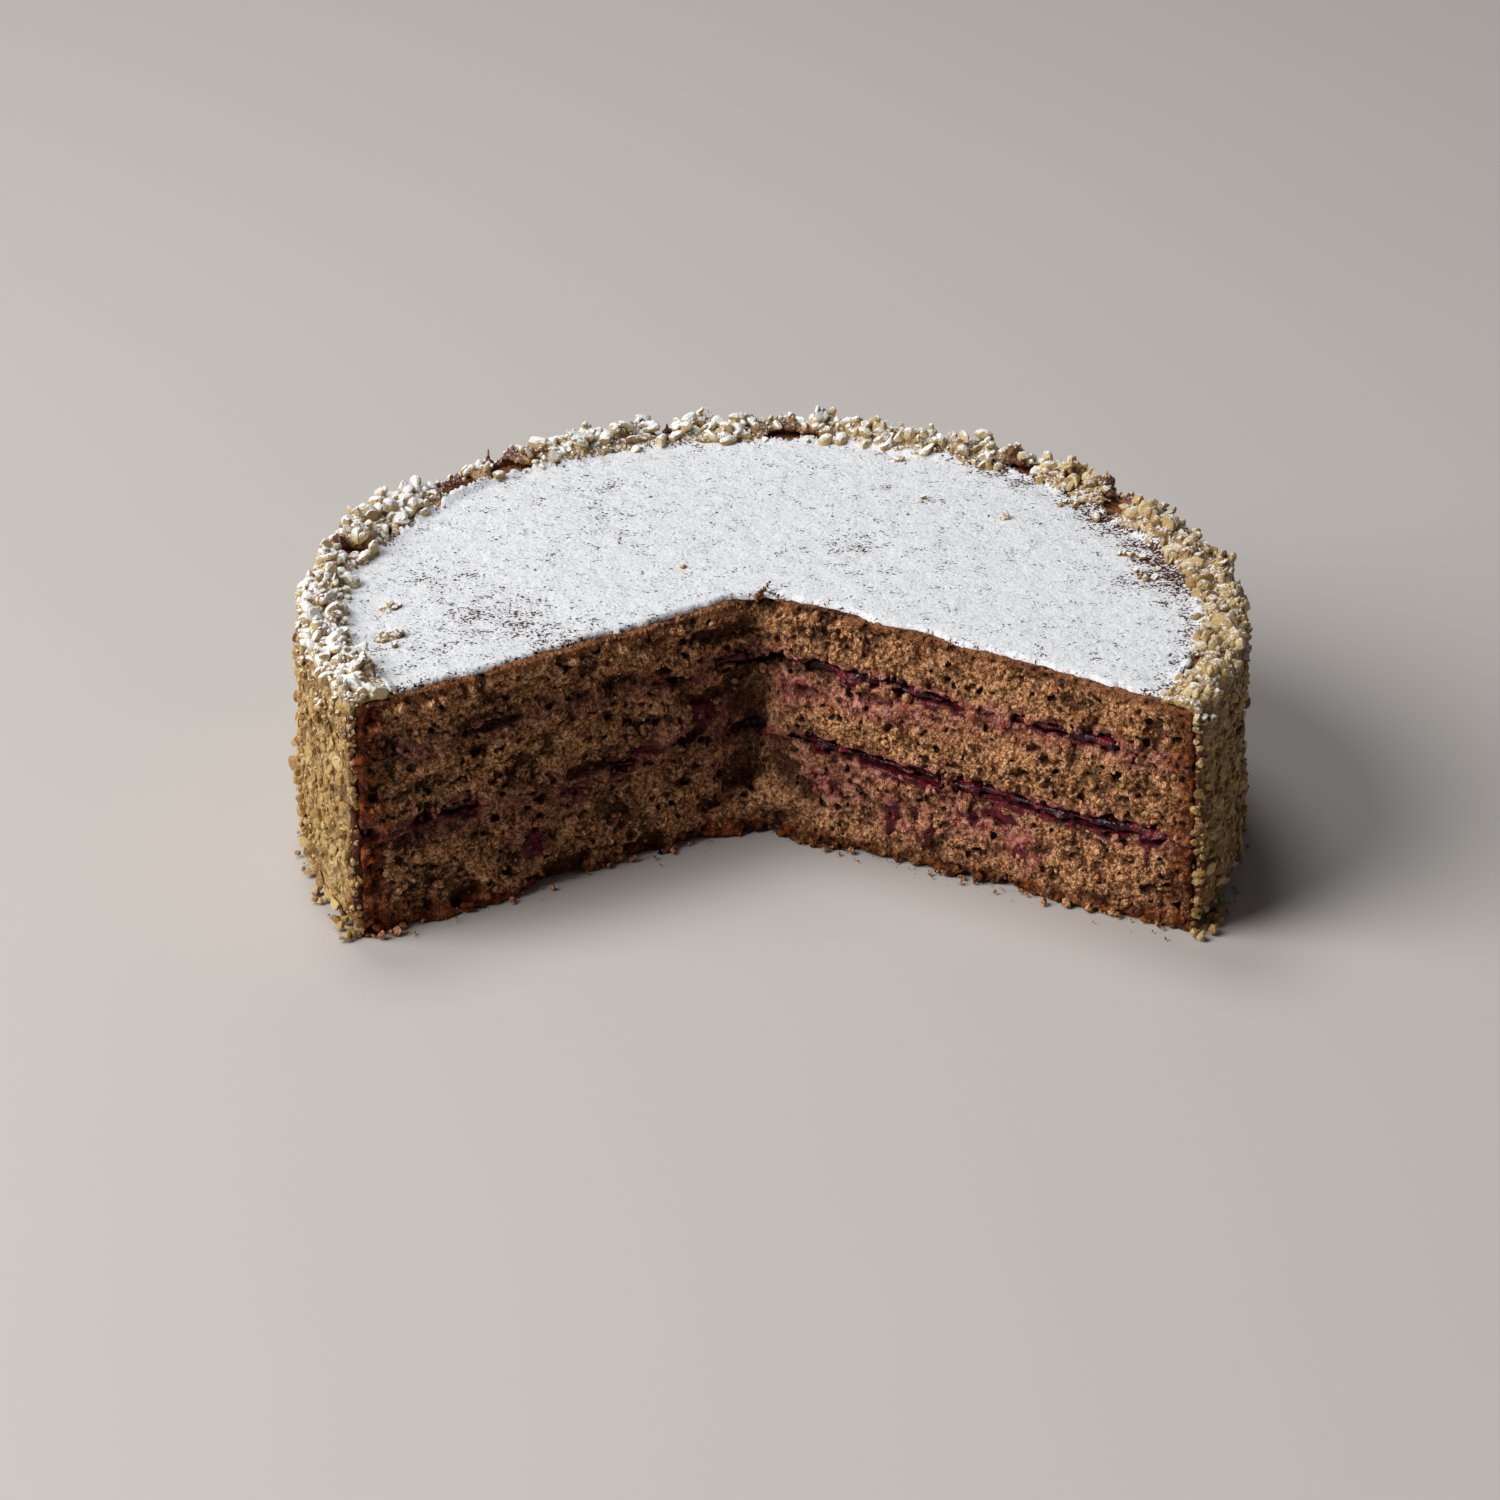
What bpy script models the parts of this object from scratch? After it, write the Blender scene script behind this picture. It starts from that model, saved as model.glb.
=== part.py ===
"""A round buckwheat cake with one wide wedge cut out of it: three sponge layers, two seams of berry jam,
a coat of chopped nuts round the side and rim, and a skin of icing sugar on top."""

import math
import random

import bmesh
import bpy
from mathutils import Euler, Vector, noise

# Driving dimensions in millimetres, in plan from the cake's axis and in height from its foot
HEIGHT = 68.0
SPONGE_RADIUS = 127.5
COAT_RADIUS = 130.4
LIP_HEIGHT = 71.0
LIP_INNER_RADIUS = 117.0
SUGAR_THICKNESS = 0.9
GAP = 0.3
HALF_GAP = GAP / 2
SUGAR_CLEARANCE = 1.2
SUGAR_INSET = 0.8
AXIS_Y = -31.6

# The two knife cuts lean a little, so each has a direction at the foot and one at the top, in degrees
APEX_FOOT = Vector((-6.4, 2.1))
APEX_TOP = Vector((-2.0, 8.9))
LEFT_CUT = (214.0, 215.3)
RIGHT_CUT = (-26.7, -32.5)

# Middle height, slope across the cake and thickness of each jam seam
LOWER_SEAM = {"height": 28.4, "slope": -0.024, "thickness": 3.0, "seed": 3.0}
UPPER_SEAM = {"height": 51.4, "slope": -0.004, "thickness": 2.4, "seed": 11.0}
SEAM_WAVE = 1.3
SEAM_WAVELENGTH = 34.0
JAM_SPREAD = 0.35
JAM_OOZE = 1.8
JAM_OOZE_SIZE = 9.0
JAM_SHRINK = 0.2

# Relief of the cut faces, positive into the missing wedge
BROAD_CRAG_SIZE = 14.0
BROAD_CRAG_DEPTH = 2.0
FINE_CRAG_SIZE = 5.5
FINE_CRAG_DEPTH = 1.9
LEFT_CRAG_SEED = 7.0
RIGHT_CRAG_SEED = 29.0
SEAM_GROOVE = 1.1
GROOVE_HALF_HEIGHT = 3.0
CORNER_ROUNDING = 0.8
CORNER_REACH = 5.0
CRAG_FREE_REACH = 6.0
TEAR_DEPTH = 6.0
TEAR_HEIGHT = 30.0
TEAR_HALF_HEIGHT = 8.0
TEAR_REACH = 9.0
TIP_FILL = 4.0
TIP_FILL_HEIGHT = 20.0

# Divisions of the outline
ARC_STEPS = 40
CUT_STEPS = 36
OUTLINE_STEPS = ARC_STEPS + 2 * CUT_STEPS
FAN_CENTRE = Vector((0.0, 112.0))

# The nut coat: a wall round the side with a lip over the rim, and the largest pieces on the lip
COAT_SWEEP = math.radians(240.0)
COAT_STEPS = 84
COAT_ROWS = 12
COAT_CLEARANCE = 0.5
LIP_EDGE_HEIGHT = 69.6
LIP_SHOULDER_HEIGHT = 67.0
LIP_CREST_INSET = 5.0
COAT_EDGE_INSET = 1.1
COAT_FOOT = 3.0
COAT_FOOT_WAVE = 1.6
COAT_FOOT_WAVES = 12.0
COAT_BULGE = 1.4
COAT_BULGE_HEIGHT = 18.0
COAT_BULGE_HALF_HEIGHT = 10.0
COAT_RELIEF = 1.5
COAT_RELIEF_SIZE = 6.5
LIP_WAVE = 3.5
LIP_WAVELENGTH = 29.0
LIP_SEED = 5.0
PIECES = 92
PIECE_SIZES = (4.6, 8.0)
PIECE_SINK = 0.37
PIECE_REACH = 0.55
PIECE_UNEVENNESS = (0.82, 1.15)
PIECE_WIDTHS = (0.75, 0.95)
PIECE_THICKNESSES = (0.6, 0.85)
END_SHARE = 0.02
SEED = 20

SPONGE_BROWN = (0.150, 0.072, 0.040, 1.0)
JAM_RED = (0.090, 0.004, 0.012, 1.0)
NUT_GOLD = (0.420, 0.270, 0.110, 1.0)
SUGAR_WHITE = (0.820, 0.810, 0.800, 1.0)


def metres(plan, z):
    """A point given in millimetres from the cake's axis, as a point of the model."""
    return Vector((plan.x, plan.y + AXIS_Y, z)) / 1000.0


def clear_scene():
    for obj in list(bpy.data.objects):
        bpy.data.objects.remove(obj, do_unlink=True)


def make_collection(name):
    collection = bpy.data.collections.new(name)
    bpy.context.scene.collection.children.link(collection)
    return collection


def make_material(name, colour, roughness):
    material = bpy.data.materials.new(name)
    material.use_nodes = True
    shader = material.node_tree.nodes["Principled BSDF"]
    shader.inputs["Base Color"].default_value = colour
    shader.inputs["Roughness"].default_value = roughness
    shader.inputs["Metallic"].default_value = 0.0
    return material


def make_object(name, mesh_builder, collection, material=None):
    mesh = bpy.data.meshes.new(name)
    mesh_builder.to_mesh(mesh)
    mesh_builder.free()
    obj = bpy.data.objects.new(name, mesh)
    collection.objects.link(obj)
    if material is not None:
        mesh.materials.append(material)
    return obj


def bell(distance, width):
    return math.exp(-((distance / width) ** 2))


def knife(cut, z):
    """Where a cut starts at height z, and its direction in plan."""
    share = z / HEIGHT
    angle = math.radians(cut[0] + (cut[1] - cut[0]) * share)
    return APEX_FOOT.lerp(APEX_TOP, share), Vector((math.cos(angle), math.sin(angle)))


def cut_length(cut, radius, z):
    """Length of a cut from the apex to the circle of this radius."""
    start, along = knife(cut, z)
    middle = -start.dot(along)
    return middle + math.sqrt(middle**2 - start.length_squared + radius**2)


def corner_angle(cut, radius, z):
    """Angle from the cake's axis at which a cut meets the circle of this radius."""
    start, along = knife(cut, z)
    corner = start + along * cut_length(cut, radius, z)
    return math.atan2(corner.y, corner.x) % (2 * math.pi)


def sweep_angle(share, radius, z):
    """Angle of a point of the side, from the right corner (share 0) round the back to the left (1)."""
    first = corner_angle(RIGHT_CUT, radius, z) - 2 * math.pi
    last = corner_angle(LEFT_CUT, radius, z)
    return first + (last - first) * share


def on_circle(angle, radius):
    return Vector((math.cos(angle), math.sin(angle))) * radius


def seam_height(seam, plan):
    wave = noise.noise(Vector((plan.x / SEAM_WAVELENGTH, plan.y / SEAM_WAVELENGTH, seam["seed"])))
    return seam["height"] + seam["slope"] * plan.x + SEAM_WAVE * wave


def seam_face(seam, side, plan):
    """Height of a seam's lower (side -1) or upper (side 1) face."""
    spread = noise.noise(Vector((plan.x / SEAM_WAVELENGTH, plan.y / SEAM_WAVELENGTH, -seam["seed"])))
    half = 0.5 * seam["thickness"] * (1.0 + JAM_SPREAD * 2.0 * spread)
    return seam_height(seam, plan) + side * half


def crag(cut, along, z, ragged):
    """How far the torn crumb of a cut stands out at a distance along it: ragged 0 keeps its broad waves."""
    seed = LEFT_CRAG_SEED if cut is LEFT_CUT else RIGHT_CRAG_SEED
    out = BROAD_CRAG_DEPTH * noise.noise(Vector((along, seed, z)) / BROAD_CRAG_SIZE)
    out += ragged * FINE_CRAG_DEPTH * noise.noise(Vector((along, seed, z)) / FINE_CRAG_SIZE)
    for seam in (LOWER_SEAM, UPPER_SEAM):
        out -= SEAM_GROOVE * bell(z - seam["height"], GROOVE_HALF_HEIGHT)
    from_corner = cut_length(cut, SPONGE_RADIUS, z) - along
    out -= CORNER_ROUNDING * bell(from_corner, CORNER_REACH)
    return out * min(1.0, along / CRAG_FREE_REACH)


def tip_shift(along, z):
    """The apex is torn out at the lower seam and filled at the foot."""
    tear = TEAR_DEPTH * bell(z - TEAR_HEIGHT, TEAR_HALF_HEIGHT)
    fill = TIP_FILL * max(0.0, 1.0 - z / TIP_FILL_HEIGHT)
    return (tear - fill) * bell(along, TEAR_REACH)


def cut_point(cut, share, z, radius=SPONGE_RADIUS, inset=0.0, ragged=0.0):
    """A point of a cut face at height z, from the apex (share 0) to the circle of this radius (share 1)."""
    start, direction = knife(cut, z)
    along = share * cut_length(cut, radius, z)
    outward = Vector((-direction.y, direction.x)) * (1.0 if cut is LEFT_CUT else -1.0)
    tip = Vector((0.0, tip_shift(along, z)))
    return start + direction * along + outward * (crag(cut, along, z, ragged) - inset) + tip


def outline(step, z, radius_at, inset=0.0, ragged=0.0):
    """Plan outline at height z, anticlockwise from the right corner round the back, then along the cuts."""
    step %= OUTLINE_STEPS
    if 0 < step < ARC_STEPS:
        share = step / ARC_STEPS
        radius = radius_at(sweep_angle(share, SPONGE_RADIUS, z))
        return on_circle(sweep_angle(share, radius, z), radius)
    if ARC_STEPS <= step <= ARC_STEPS + CUT_STEPS:
        cut, share = LEFT_CUT, 1.0 - (step - ARC_STEPS) / CUT_STEPS
    else:
        cut, share = RIGHT_CUT, (step - ARC_STEPS - CUT_STEPS) % OUTLINE_STEPS / CUT_STEPS
    radius = radius_at(corner_angle(cut, SPONGE_RADIUS, z))
    return cut_point(cut, share, z, radius, inset, ragged)


def sponge_side(angle):
    return SPONGE_RADIUS


def lip_inner_radius(angle):
    """The nut lip has an uneven inner edge."""
    spot = on_circle(angle, LIP_INNER_RADIUS / LIP_WAVELENGTH)
    return LIP_INNER_RADIUS + LIP_WAVE * noise.noise(Vector((spot.x, spot.y, LIP_SEED)))


def sugar_side(angle):
    return lip_inner_radius(angle) - SUGAR_CLEARANCE


def drum(rows):
    """A unit drum with a fan at each end: its mesh, and each vertex's outline step and height share."""
    mesh = bmesh.new()
    bmesh.ops.create_cone(
        mesh, cap_ends=True, cap_tris=True, segments=OUTLINE_STEPS, radius1=1.0, radius2=1.0, depth=1.0
    )
    upright = [edge for edge in mesh.edges if abs(edge.verts[0].co.z - edge.verts[1].co.z) > 0.5]
    if rows > 1:
        bmesh.ops.subdivide_edges(mesh, edges=upright, cuts=rows - 1, use_grid_fill=True)
    places = {}
    for vertex in mesh.verts:
        angle = math.atan2(vertex.co.y, vertex.co.x)
        step = round(angle / (2 * math.pi) * OUTLINE_STEPS) % OUTLINE_STEPS
        in_middle = vertex.co.xy.length < 0.5
        places[vertex] = (None if in_middle else step, vertex.co.z + 0.5)
    return mesh, places


def shape_drum(rows, radius_at, low_face, high_face, low_gap=0.0, high_gap=0.0, inset=0.0, bulge=None):
    """Bends a unit drum between two faces, each given as a height over the plan, and a gap short of them.
    Two drums that meet at a face have the same outline there, so the gap between them is even."""
    mesh, places = drum(rows)
    for vertex, (step, share) in places.items():
        plan = FAN_CENTRE
        z = (low_face(plan) + high_face(plan)) / 2
        if step is not None:
            ragged = min(1.0, 4.0 * share * (1.0 - share))
            # The outline leans, so its height and place settle together
            for _ in range(3):
                plan = outline(step, z, radius_at, inset, ragged)
                z = low_face(plan) + (high_face(plan) - low_face(plan)) * share
            if bulge is not None and ragged:
                plan = outline(step, z, radius_at, inset - bulge(plan))
        z = low_face(plan) + (high_face(plan) - low_face(plan)) * share
        z += low_gap * (1.0 - share) - high_gap * share
        vertex.co = metres(plan, z)
    bmesh.ops.recalc_face_normals(mesh, faces=mesh.faces)
    bmesh.ops.triangulate(mesh, faces=mesh.faces)
    return mesh


def foot(plan):
    return 0.0


def cake_top(plan):
    return HEIGHT


def seam_top(seam):
    return lambda plan: seam_face(seam, 1.0, plan)


def seam_bottom(seam):
    return lambda plan: seam_face(seam, -1.0, plan)


def sugar_foot(plan):
    return HEIGHT + GAP


def sugar_top(plan):
    return HEIGHT + GAP + SUGAR_THICKNESS


def jam_ooze(plan):
    """Jam stands out of the cut in some places and shrinks back in others."""
    return JAM_OOZE * noise.noise(Vector((plan.x, plan.y, 0.0)) / JAM_OOZE_SIZE) - JAM_SHRINK


def add_sponges(collection, material):
    layers = (
        ("sponge_bottom", 6, foot, seam_bottom(LOWER_SEAM), 0.0, HALF_GAP),
        ("sponge_middle", 5, seam_top(LOWER_SEAM), seam_bottom(UPPER_SEAM), HALF_GAP, HALF_GAP),
        ("sponge_top", 4, seam_top(UPPER_SEAM), cake_top, HALF_GAP, 0.0),
    )
    for name, rows, low_face, high_face, low_gap, high_gap in layers:
        mesh = shape_drum(rows, sponge_side, low_face, high_face, low_gap, high_gap)
        make_object(name, mesh, collection, material)


def add_jams(collection, material):
    for name, seam in (("jam_lower", LOWER_SEAM), ("jam_upper", UPPER_SEAM)):
        faces = seam_bottom(seam), seam_top(seam)
        mesh = shape_drum(2, sponge_side, *faces, low_gap=HALF_GAP, high_gap=HALF_GAP, bulge=jam_ooze)
        make_object(name, mesh, collection, material)


def add_sugar(collection, material):
    mesh = shape_drum(1, sugar_side, sugar_foot, sugar_top, inset=SUGAR_INSET)
    make_object("icing_sugar", mesh, collection, material)


def coat_bulge(z):
    return COAT_BULGE * bell(z - COAT_BULGE_HEIGHT, COAT_BULGE_HALF_HEIGHT)


def coat_profile():
    """Radius and height round the coat's section: up inside, under the lip, over it and down outside."""
    inner = SPONGE_RADIUS + COAT_CLEARANCE
    under_lip = HEIGHT + GAP
    points = [(inner, COAT_FOOT), (inner, HEIGHT / 2), (inner, under_lip), (LIP_INNER_RADIUS, under_lip)]
    points += [(LIP_INNER_RADIUS, LIP_EDGE_HEIGHT), (LIP_INNER_RADIUS + LIP_CREST_INSET, LIP_HEIGHT)]
    points += [(COAT_RADIUS - COAT_EDGE_INSET, LIP_HEIGHT)]
    for row in range(COAT_ROWS - 1):
        z = LIP_SHOULDER_HEIGHT + (COAT_FOOT - LIP_SHOULDER_HEIGHT) * row / (COAT_ROWS - 1)
        points.append((COAT_RADIUS + coat_bulge(z), z))
    return points + [(COAT_RADIUS - COAT_EDGE_INSET, COAT_FOOT)]


def coat_point(share, radius, z):
    """Moves a point of the smooth coat to its uneven place. The outside, the foot and the lip are uneven."""
    angle = sweep_angle(share, radius, z)
    over_cake = z > HEIGHT and radius < SPONGE_RADIUS
    if over_cake:
        inner_share = (SPONGE_RADIUS - radius) / (SPONGE_RADIUS - LIP_INNER_RADIUS)
        radius += (lip_inner_radius(angle) - LIP_INNER_RADIUS) * inner_share
    spot = on_circle(angle, radius)
    rough = COAT_RELIEF * noise.noise(Vector((spot.x, spot.y, z)) / COAT_RELIEF_SIZE)
    if z < COAT_FOOT + GAP:
        z += COAT_FOOT_WAVE * noise.noise(Vector((angle * COAT_FOOT_WAVES, 0.0, 0.0)))
    elif radius > SPONGE_RADIUS + COAT_CLEARANCE * 2:
        radius += rough
    elif z > HEIGHT + GAP * 2:
        z += rough / 2
    if share < END_SHARE / 2:
        return metres(cut_point(RIGHT_CUT, 1.0, z, radius), z)
    if share > 1.0 - END_SHARE / 4:
        return metres(cut_point(LEFT_CUT, 1.0, z, radius), z)
    return metres(on_circle(sweep_angle(share, radius, z), radius), z)


def coat_mesh():
    mesh = bmesh.new()
    profile = [mesh.verts.new((radius, 0.0, z)) for radius, z in coat_profile()]
    levels = [vertex.co.z for vertex in profile]
    section = mesh.faces.new(profile)
    geometry = [section] + list(section.edges) + profile
    bmesh.ops.spin(mesh, geom=geometry, cent=(0, 0, 0), axis=(0, 0, 1), angle=COAT_SWEEP, steps=COAT_STEPS)
    full_turn = round(2 * math.pi / COAT_SWEEP * COAT_STEPS)
    for vertex in mesh.verts:
        turned = math.atan2(vertex.co.y, vertex.co.x) / (2 * math.pi)
        step = round(turned * full_turn) % full_turn
        level = min(levels, key=lambda z: abs(z - vertex.co.z))
        vertex.co = coat_point(step / COAT_STEPS, vertex.co.xy.length, level)
    bmesh.ops.recalc_face_normals(mesh, faces=mesh.faces)
    bmesh.ops.triangulate(mesh, faces=mesh.faces)
    return mesh


def nut_piece(draw, size, place):
    """A broken nut: a coarse ball with uneven corners, flattened and turned."""
    mesh = bmesh.new()
    bmesh.ops.create_icosphere(mesh, subdivisions=1, radius=size / 2000.0)
    flattening = Vector((1.0, draw.uniform(*PIECE_WIDTHS), draw.uniform(*PIECE_THICKNESSES)))
    turn = Euler([draw.uniform(0.0, math.pi) for _ in range(3)]).to_matrix()
    for vertex in mesh.verts:
        uneven = vertex.co * draw.uniform(*PIECE_UNEVENNESS)
        vertex.co = turn @ Vector([a * b for a, b in zip(uneven, flattening)]) + place
    return mesh


def piece_place(draw, size, share):
    """A place on the lip, clear of the sugar."""
    angle = sweep_angle(share, SPONGE_RADIUS, HEIGHT)
    nearest = lip_inner_radius(angle) + PIECE_REACH * size + GAP
    radius = draw.uniform(nearest, COAT_RADIUS - COAT_EDGE_INSET)
    return metres(on_circle(angle, radius), LIP_HEIGHT + size * (0.5 - PIECE_SINK))


def scatter_pieces(collection):
    """Spreads the largest pieces evenly along the lip."""
    draw = random.Random(SEED)
    for index in range(PIECES):
        share = END_SHARE + (1.0 - 2 * END_SHARE) * (index + draw.random()) / PIECES
        size = draw.uniform(*PIECE_SIZES)
        make_object(f"nut_piece_{index}", nut_piece(draw, size, piece_place(draw, size, share)), collection)


def fuse(obj, collection):
    """Joins every object of the collection to this one, then removes them."""
    union = obj.modifiers.new("union", "BOOLEAN")
    union.operation = "UNION"
    union.operand_type = "COLLECTION"
    union.collection = collection
    union.solver = "EXACT"
    bpy.context.view_layer.update()
    graph = bpy.context.evaluated_depsgraph_get()
    joined = bpy.data.meshes.new_from_object(obj.evaluated_get(graph))
    obj.modifiers.clear()
    obj.data = joined
    for piece in list(collection.objects):
        bpy.data.objects.remove(piece, do_unlink=True)
    bpy.data.collections.remove(collection)


def keep_outer_skin(obj):
    """Drops what a union leaves beside the outer skin: the walls of sealed hollows and loose scraps."""
    mesh = bmesh.new()
    mesh.from_mesh(obj.data)
    waiting = set(mesh.verts)
    islands = []
    while waiting:
        island = set()
        front = [waiting.pop()]
        while front:
            vertex = front.pop()
            island.add(vertex)
            for edge in vertex.link_edges:
                other = edge.other_vert(vertex)
                if other in waiting:
                    waiting.remove(other)
                    front.append(other)
        islands.append(island)
    islands.sort(key=len)
    for island in islands[:-1]:
        bmesh.ops.delete(mesh, geom=list(island), context="VERTS")
    mesh.to_mesh(obj.data)
    mesh.free()


def add_nut_coat(collection, material):
    coat = make_object("nut_coating", coat_mesh(), collection)
    pieces = make_collection("nut_pieces")
    scatter_pieces(pieces)
    fuse(coat, pieces)
    keep_outer_skin(coat)
    coat.data.materials.clear()
    coat.data.materials.append(material)


def main():
    clear_scene()
    cake = make_collection("buckwheat_cake")
    add_sponges(cake, make_material("sponge", SPONGE_BROWN, 0.9))
    add_jams(cake, make_material("jam", JAM_RED, 0.25))
    add_sugar(cake, make_material("sugar", SUGAR_WHITE, 0.85))
    add_nut_coat(cake, make_material("nuts", NUT_GOLD, 0.6))


main()
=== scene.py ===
import math

import bmesh
import bpy
import numpy as np
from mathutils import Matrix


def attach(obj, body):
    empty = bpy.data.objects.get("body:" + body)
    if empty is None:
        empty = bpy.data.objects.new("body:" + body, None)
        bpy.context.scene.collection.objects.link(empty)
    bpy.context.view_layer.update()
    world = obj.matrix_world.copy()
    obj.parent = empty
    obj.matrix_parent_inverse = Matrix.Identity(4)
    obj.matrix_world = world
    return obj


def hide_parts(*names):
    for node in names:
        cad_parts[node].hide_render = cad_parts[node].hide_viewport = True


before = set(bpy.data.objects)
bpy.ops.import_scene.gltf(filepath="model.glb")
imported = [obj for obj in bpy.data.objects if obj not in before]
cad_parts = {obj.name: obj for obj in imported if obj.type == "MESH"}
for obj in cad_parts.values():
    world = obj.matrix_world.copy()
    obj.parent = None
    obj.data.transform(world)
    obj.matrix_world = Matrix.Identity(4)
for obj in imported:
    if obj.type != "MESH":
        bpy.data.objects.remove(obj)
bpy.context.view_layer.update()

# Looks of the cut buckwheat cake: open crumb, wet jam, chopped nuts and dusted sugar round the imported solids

import openvdb as vdb
from mathutils import Matrix, Vector, noise
from mathutils.bvhtree import BVHTree
from mathutils.geometry import delaunay_2d_cdt

# The cake's sizes in millimetres, in plan from its round axis, which stands at AXIS_Y in the frame
AXIS_Y = -31.6
HEIGHT = 68.0
SPONGE_RADIUS = 127.5
COAT_RADIUS = 130.4
LIP_INNER_RADIUS = 117.0
LIP_WAVE = 3.5
LIP_WAVELENGTH = 29.0
LIP_SEED = 5.0
APEX_FOOT = np.array((-6.4, 2.1))
APEX_TOP = np.array((-2.0, 8.9))
LEFT_CUT = (214.0, 215.3)
RIGHT_CUT = (-26.7, -32.5)
LOWER_SEAM = {"height": 28.4, "slope": -0.024, "seed": 3.0}
UPPER_SEAM = {"height": 51.4, "slope": -0.004, "seed": 11.0}
SEAM_WAVE = 1.3
SEAM_WAVELENGTH = 34.0

# The photograph's camera: its height angle, distance from the foot of the axis, focal length in pixels of the
# 1500 pixel frame, the pixel where the foot of the axis lies, and its roll
VIEW_ELEVATION = math.radians(27.03)
VIEW_DISTANCE = 1.4088
VIEW_ROLL = math.radians(0.67)
FOCAL_PIXELS = 5000.0
FRAME_PIXELS = 1500.0
AXIS_PIXEL = (771.22, 829.14)
SENSOR_MM = 36.0

# Colours, in linear light
# Painted shade for the crumb's pits, hollows and the gaps between its grains
CRUMB_PIT_SHADE = (0.018, 0.0035, 0.0006)
CRUMB_DARK = (0.12, 0.038, 0.009)
CRUMB_MEAN = (0.33, 0.134, 0.049)
CRUMB_LIGHT = (0.63, 0.31, 0.14)
# Pale crumb, also used as painted highlight on the grains' raised tips
CRUMB_PALE_AND_HIGHLIGHT = (0.88, 0.57, 0.33)
CRUMB_BRAN = (0.10, 0.056, 0.03)
CRUST_DARK = (0.055, 0.011, 0.003)
CRUST_WARM = (0.36, 0.098, 0.014)
CRUST_RED = (0.26, 0.055, 0.012)
CRUST_EMBER = (0.52, 0.12, 0.025)
CRUST_TOP = (0.27, 0.105, 0.042)
SPECK_BROWN = (0.085, 0.034, 0.018)
RIM_RED = (0.14, 0.028, 0.012)
JAM_BLACK = (0.012, 0.002, 0.004)
JAM_DARK = (0.035, 0.005, 0.009)
JAM_CRIMSON = (0.16, 0.014, 0.02)
JAM_ROSE = (0.34, 0.08, 0.075)
JAM_PINK = (0.60, 0.27, 0.24)
JAM_DEEP = (0.05, 0.012, 0.012)
NUT_SHADE = (0.18, 0.085, 0.022)
NUT_GOLD = (0.35, 0.205, 0.058)
NUT_PALE = (0.49, 0.325, 0.12)
NUT_CREAM = (0.62, 0.46, 0.225)
NUT_WHITE = (0.74, 0.58, 0.33)
NUT_YELLOW = (0.56, 0.36, 0.07)
# Brown nut skin, also used as painted shade between the coat's grains
NUT_SKIN_AND_GAP_SHADE = (0.12, 0.055, 0.02)
# Painted shade for the nuts on the cake's right side
NUT_SIDE_SHADE = (0.13, 0.058, 0.012)
SUGAR_WHITE = (0.78, 0.79, 0.825)
SUGAR_SHADE = (0.62, 0.63, 0.67)
SUGAR_ON_NUTS = (0.88, 0.865, 0.845)

# Room: floor, air light and lamps as (name, place in metres, size, watts, colour)
FLOOR_SIZE = 8.0
FLOOR_DROP = 0.0005
FLOOR_COLOR = (0.535, 0.503, 0.48)
AIR_COLOR = (1.0, 0.98, 0.96)
AIR_STRENGTH = 0.075
LIGHTS = [
    ("key", (-1.73, -0.70, 1.54), 2.0, 76.0, (1.0, 0.985, 0.96)),
    ("overhead", (-0.45, 0.75, 2.1), 0.9, 15.0, (0.97, 0.985, 1.0)),
]

# How far from a solid its carved surface may go. A grid is (size of a cell, how far flat parts are thinned).
BAND = 3.0

# Crumb: its grid, grains, clods and holes
CRUMB_GRID = (0.582, 0.15)
GRAIN = 1.7
GRAIN_DEPTH = 1.3
GRAIN_MIDDLE = 0.45
CLOD = 5.6
CLOD_DEPTH = 1.0
CRACK_WIDTH = 0.16
CRACK_DEPTH = 0.8
LEDGE_DEPTH = 0.7
LEFT_LEDGE_DEPTH = 0.9
RELIEF_LIMIT = 2.6
TIP_LEDGE_DEPTH = 1.5
DRAGGED_OVER = 2.5
HOLE_REACH = 3.2
NO_HOLE = -9.0
COAT_GAP_FILLED = 0.8
FOOT_CRUST = 6.0
JAM_GRID = (0.55, 0.15)
JAM_DRAWN_BACK = 0.35
JAM_HIDDEN = 1.3

# How far jam soaks the crumb below and above the lower and the upper seam
SOAK_HALF_HEIGHTS = (2.0, 1.1)

# Where crumb was dragged over a seam: (on the left cut, on the upper seam, middle, half length)
COVERED_SEAMS = [
    (True, True, 87.0, 47.0), (True, True, 22.0, 7.0), (True, False, 22.0, 18.0), (True, False, 68.0, 20.0),
    (True, False, 120.0, 6.0), (True, False, 102.5, 4.0), (False, True, 123.0, 13.0),
    (False, True, 10.0, 5.0), (False, False, 131.0, 6.0), (False, False, 9.0, 10.0),
]

# Torn places in the cuts: (on the left cut, distance from the tip, height, half width, half height, depth)
TORN = [
    (True, 0.0, 27.0, 2.6, 22.0, 6.5), (False, 0.0, 27.0, 2.2, 20.0, 6.5), (True, 3.0, 37.5, 6.5, 5.0, 5.0),
    (True, 3.0, 21.0, 5.5, 3.4, 5.0), (False, 7.5, 25.5, 6.5, 2.6, 5.0), (True, 17.0, 43.0, 8.0, 2.4, 4.0),
    (True, 24.0, 33.5, 7.5, 2.2, 4.0), (False, 14.0, 43.5, 5.0, 2.0, 3.5), (True, 33.0, 3.5, 5.0, 4.5, 4.5),
    (True, 62.0, 3.5, 6.5, 4.5, 4.0), (True, 92.0, 5.0, 4.0, 3.4, 3.5), (False, 62.9, 32.4, 4.0, 0.9, 4.0),
    (False, 124.0, 58.0, 3.0, 4.5, 3.0), (True, 86.0, 52.5, 9.0, 1.5, 3.5),
    (True, 55.0, 31.5, 10.0, 1.7, 3.5), (False, 36.0, 47.0, 4.0, 2.0, 3.0),
]

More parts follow.
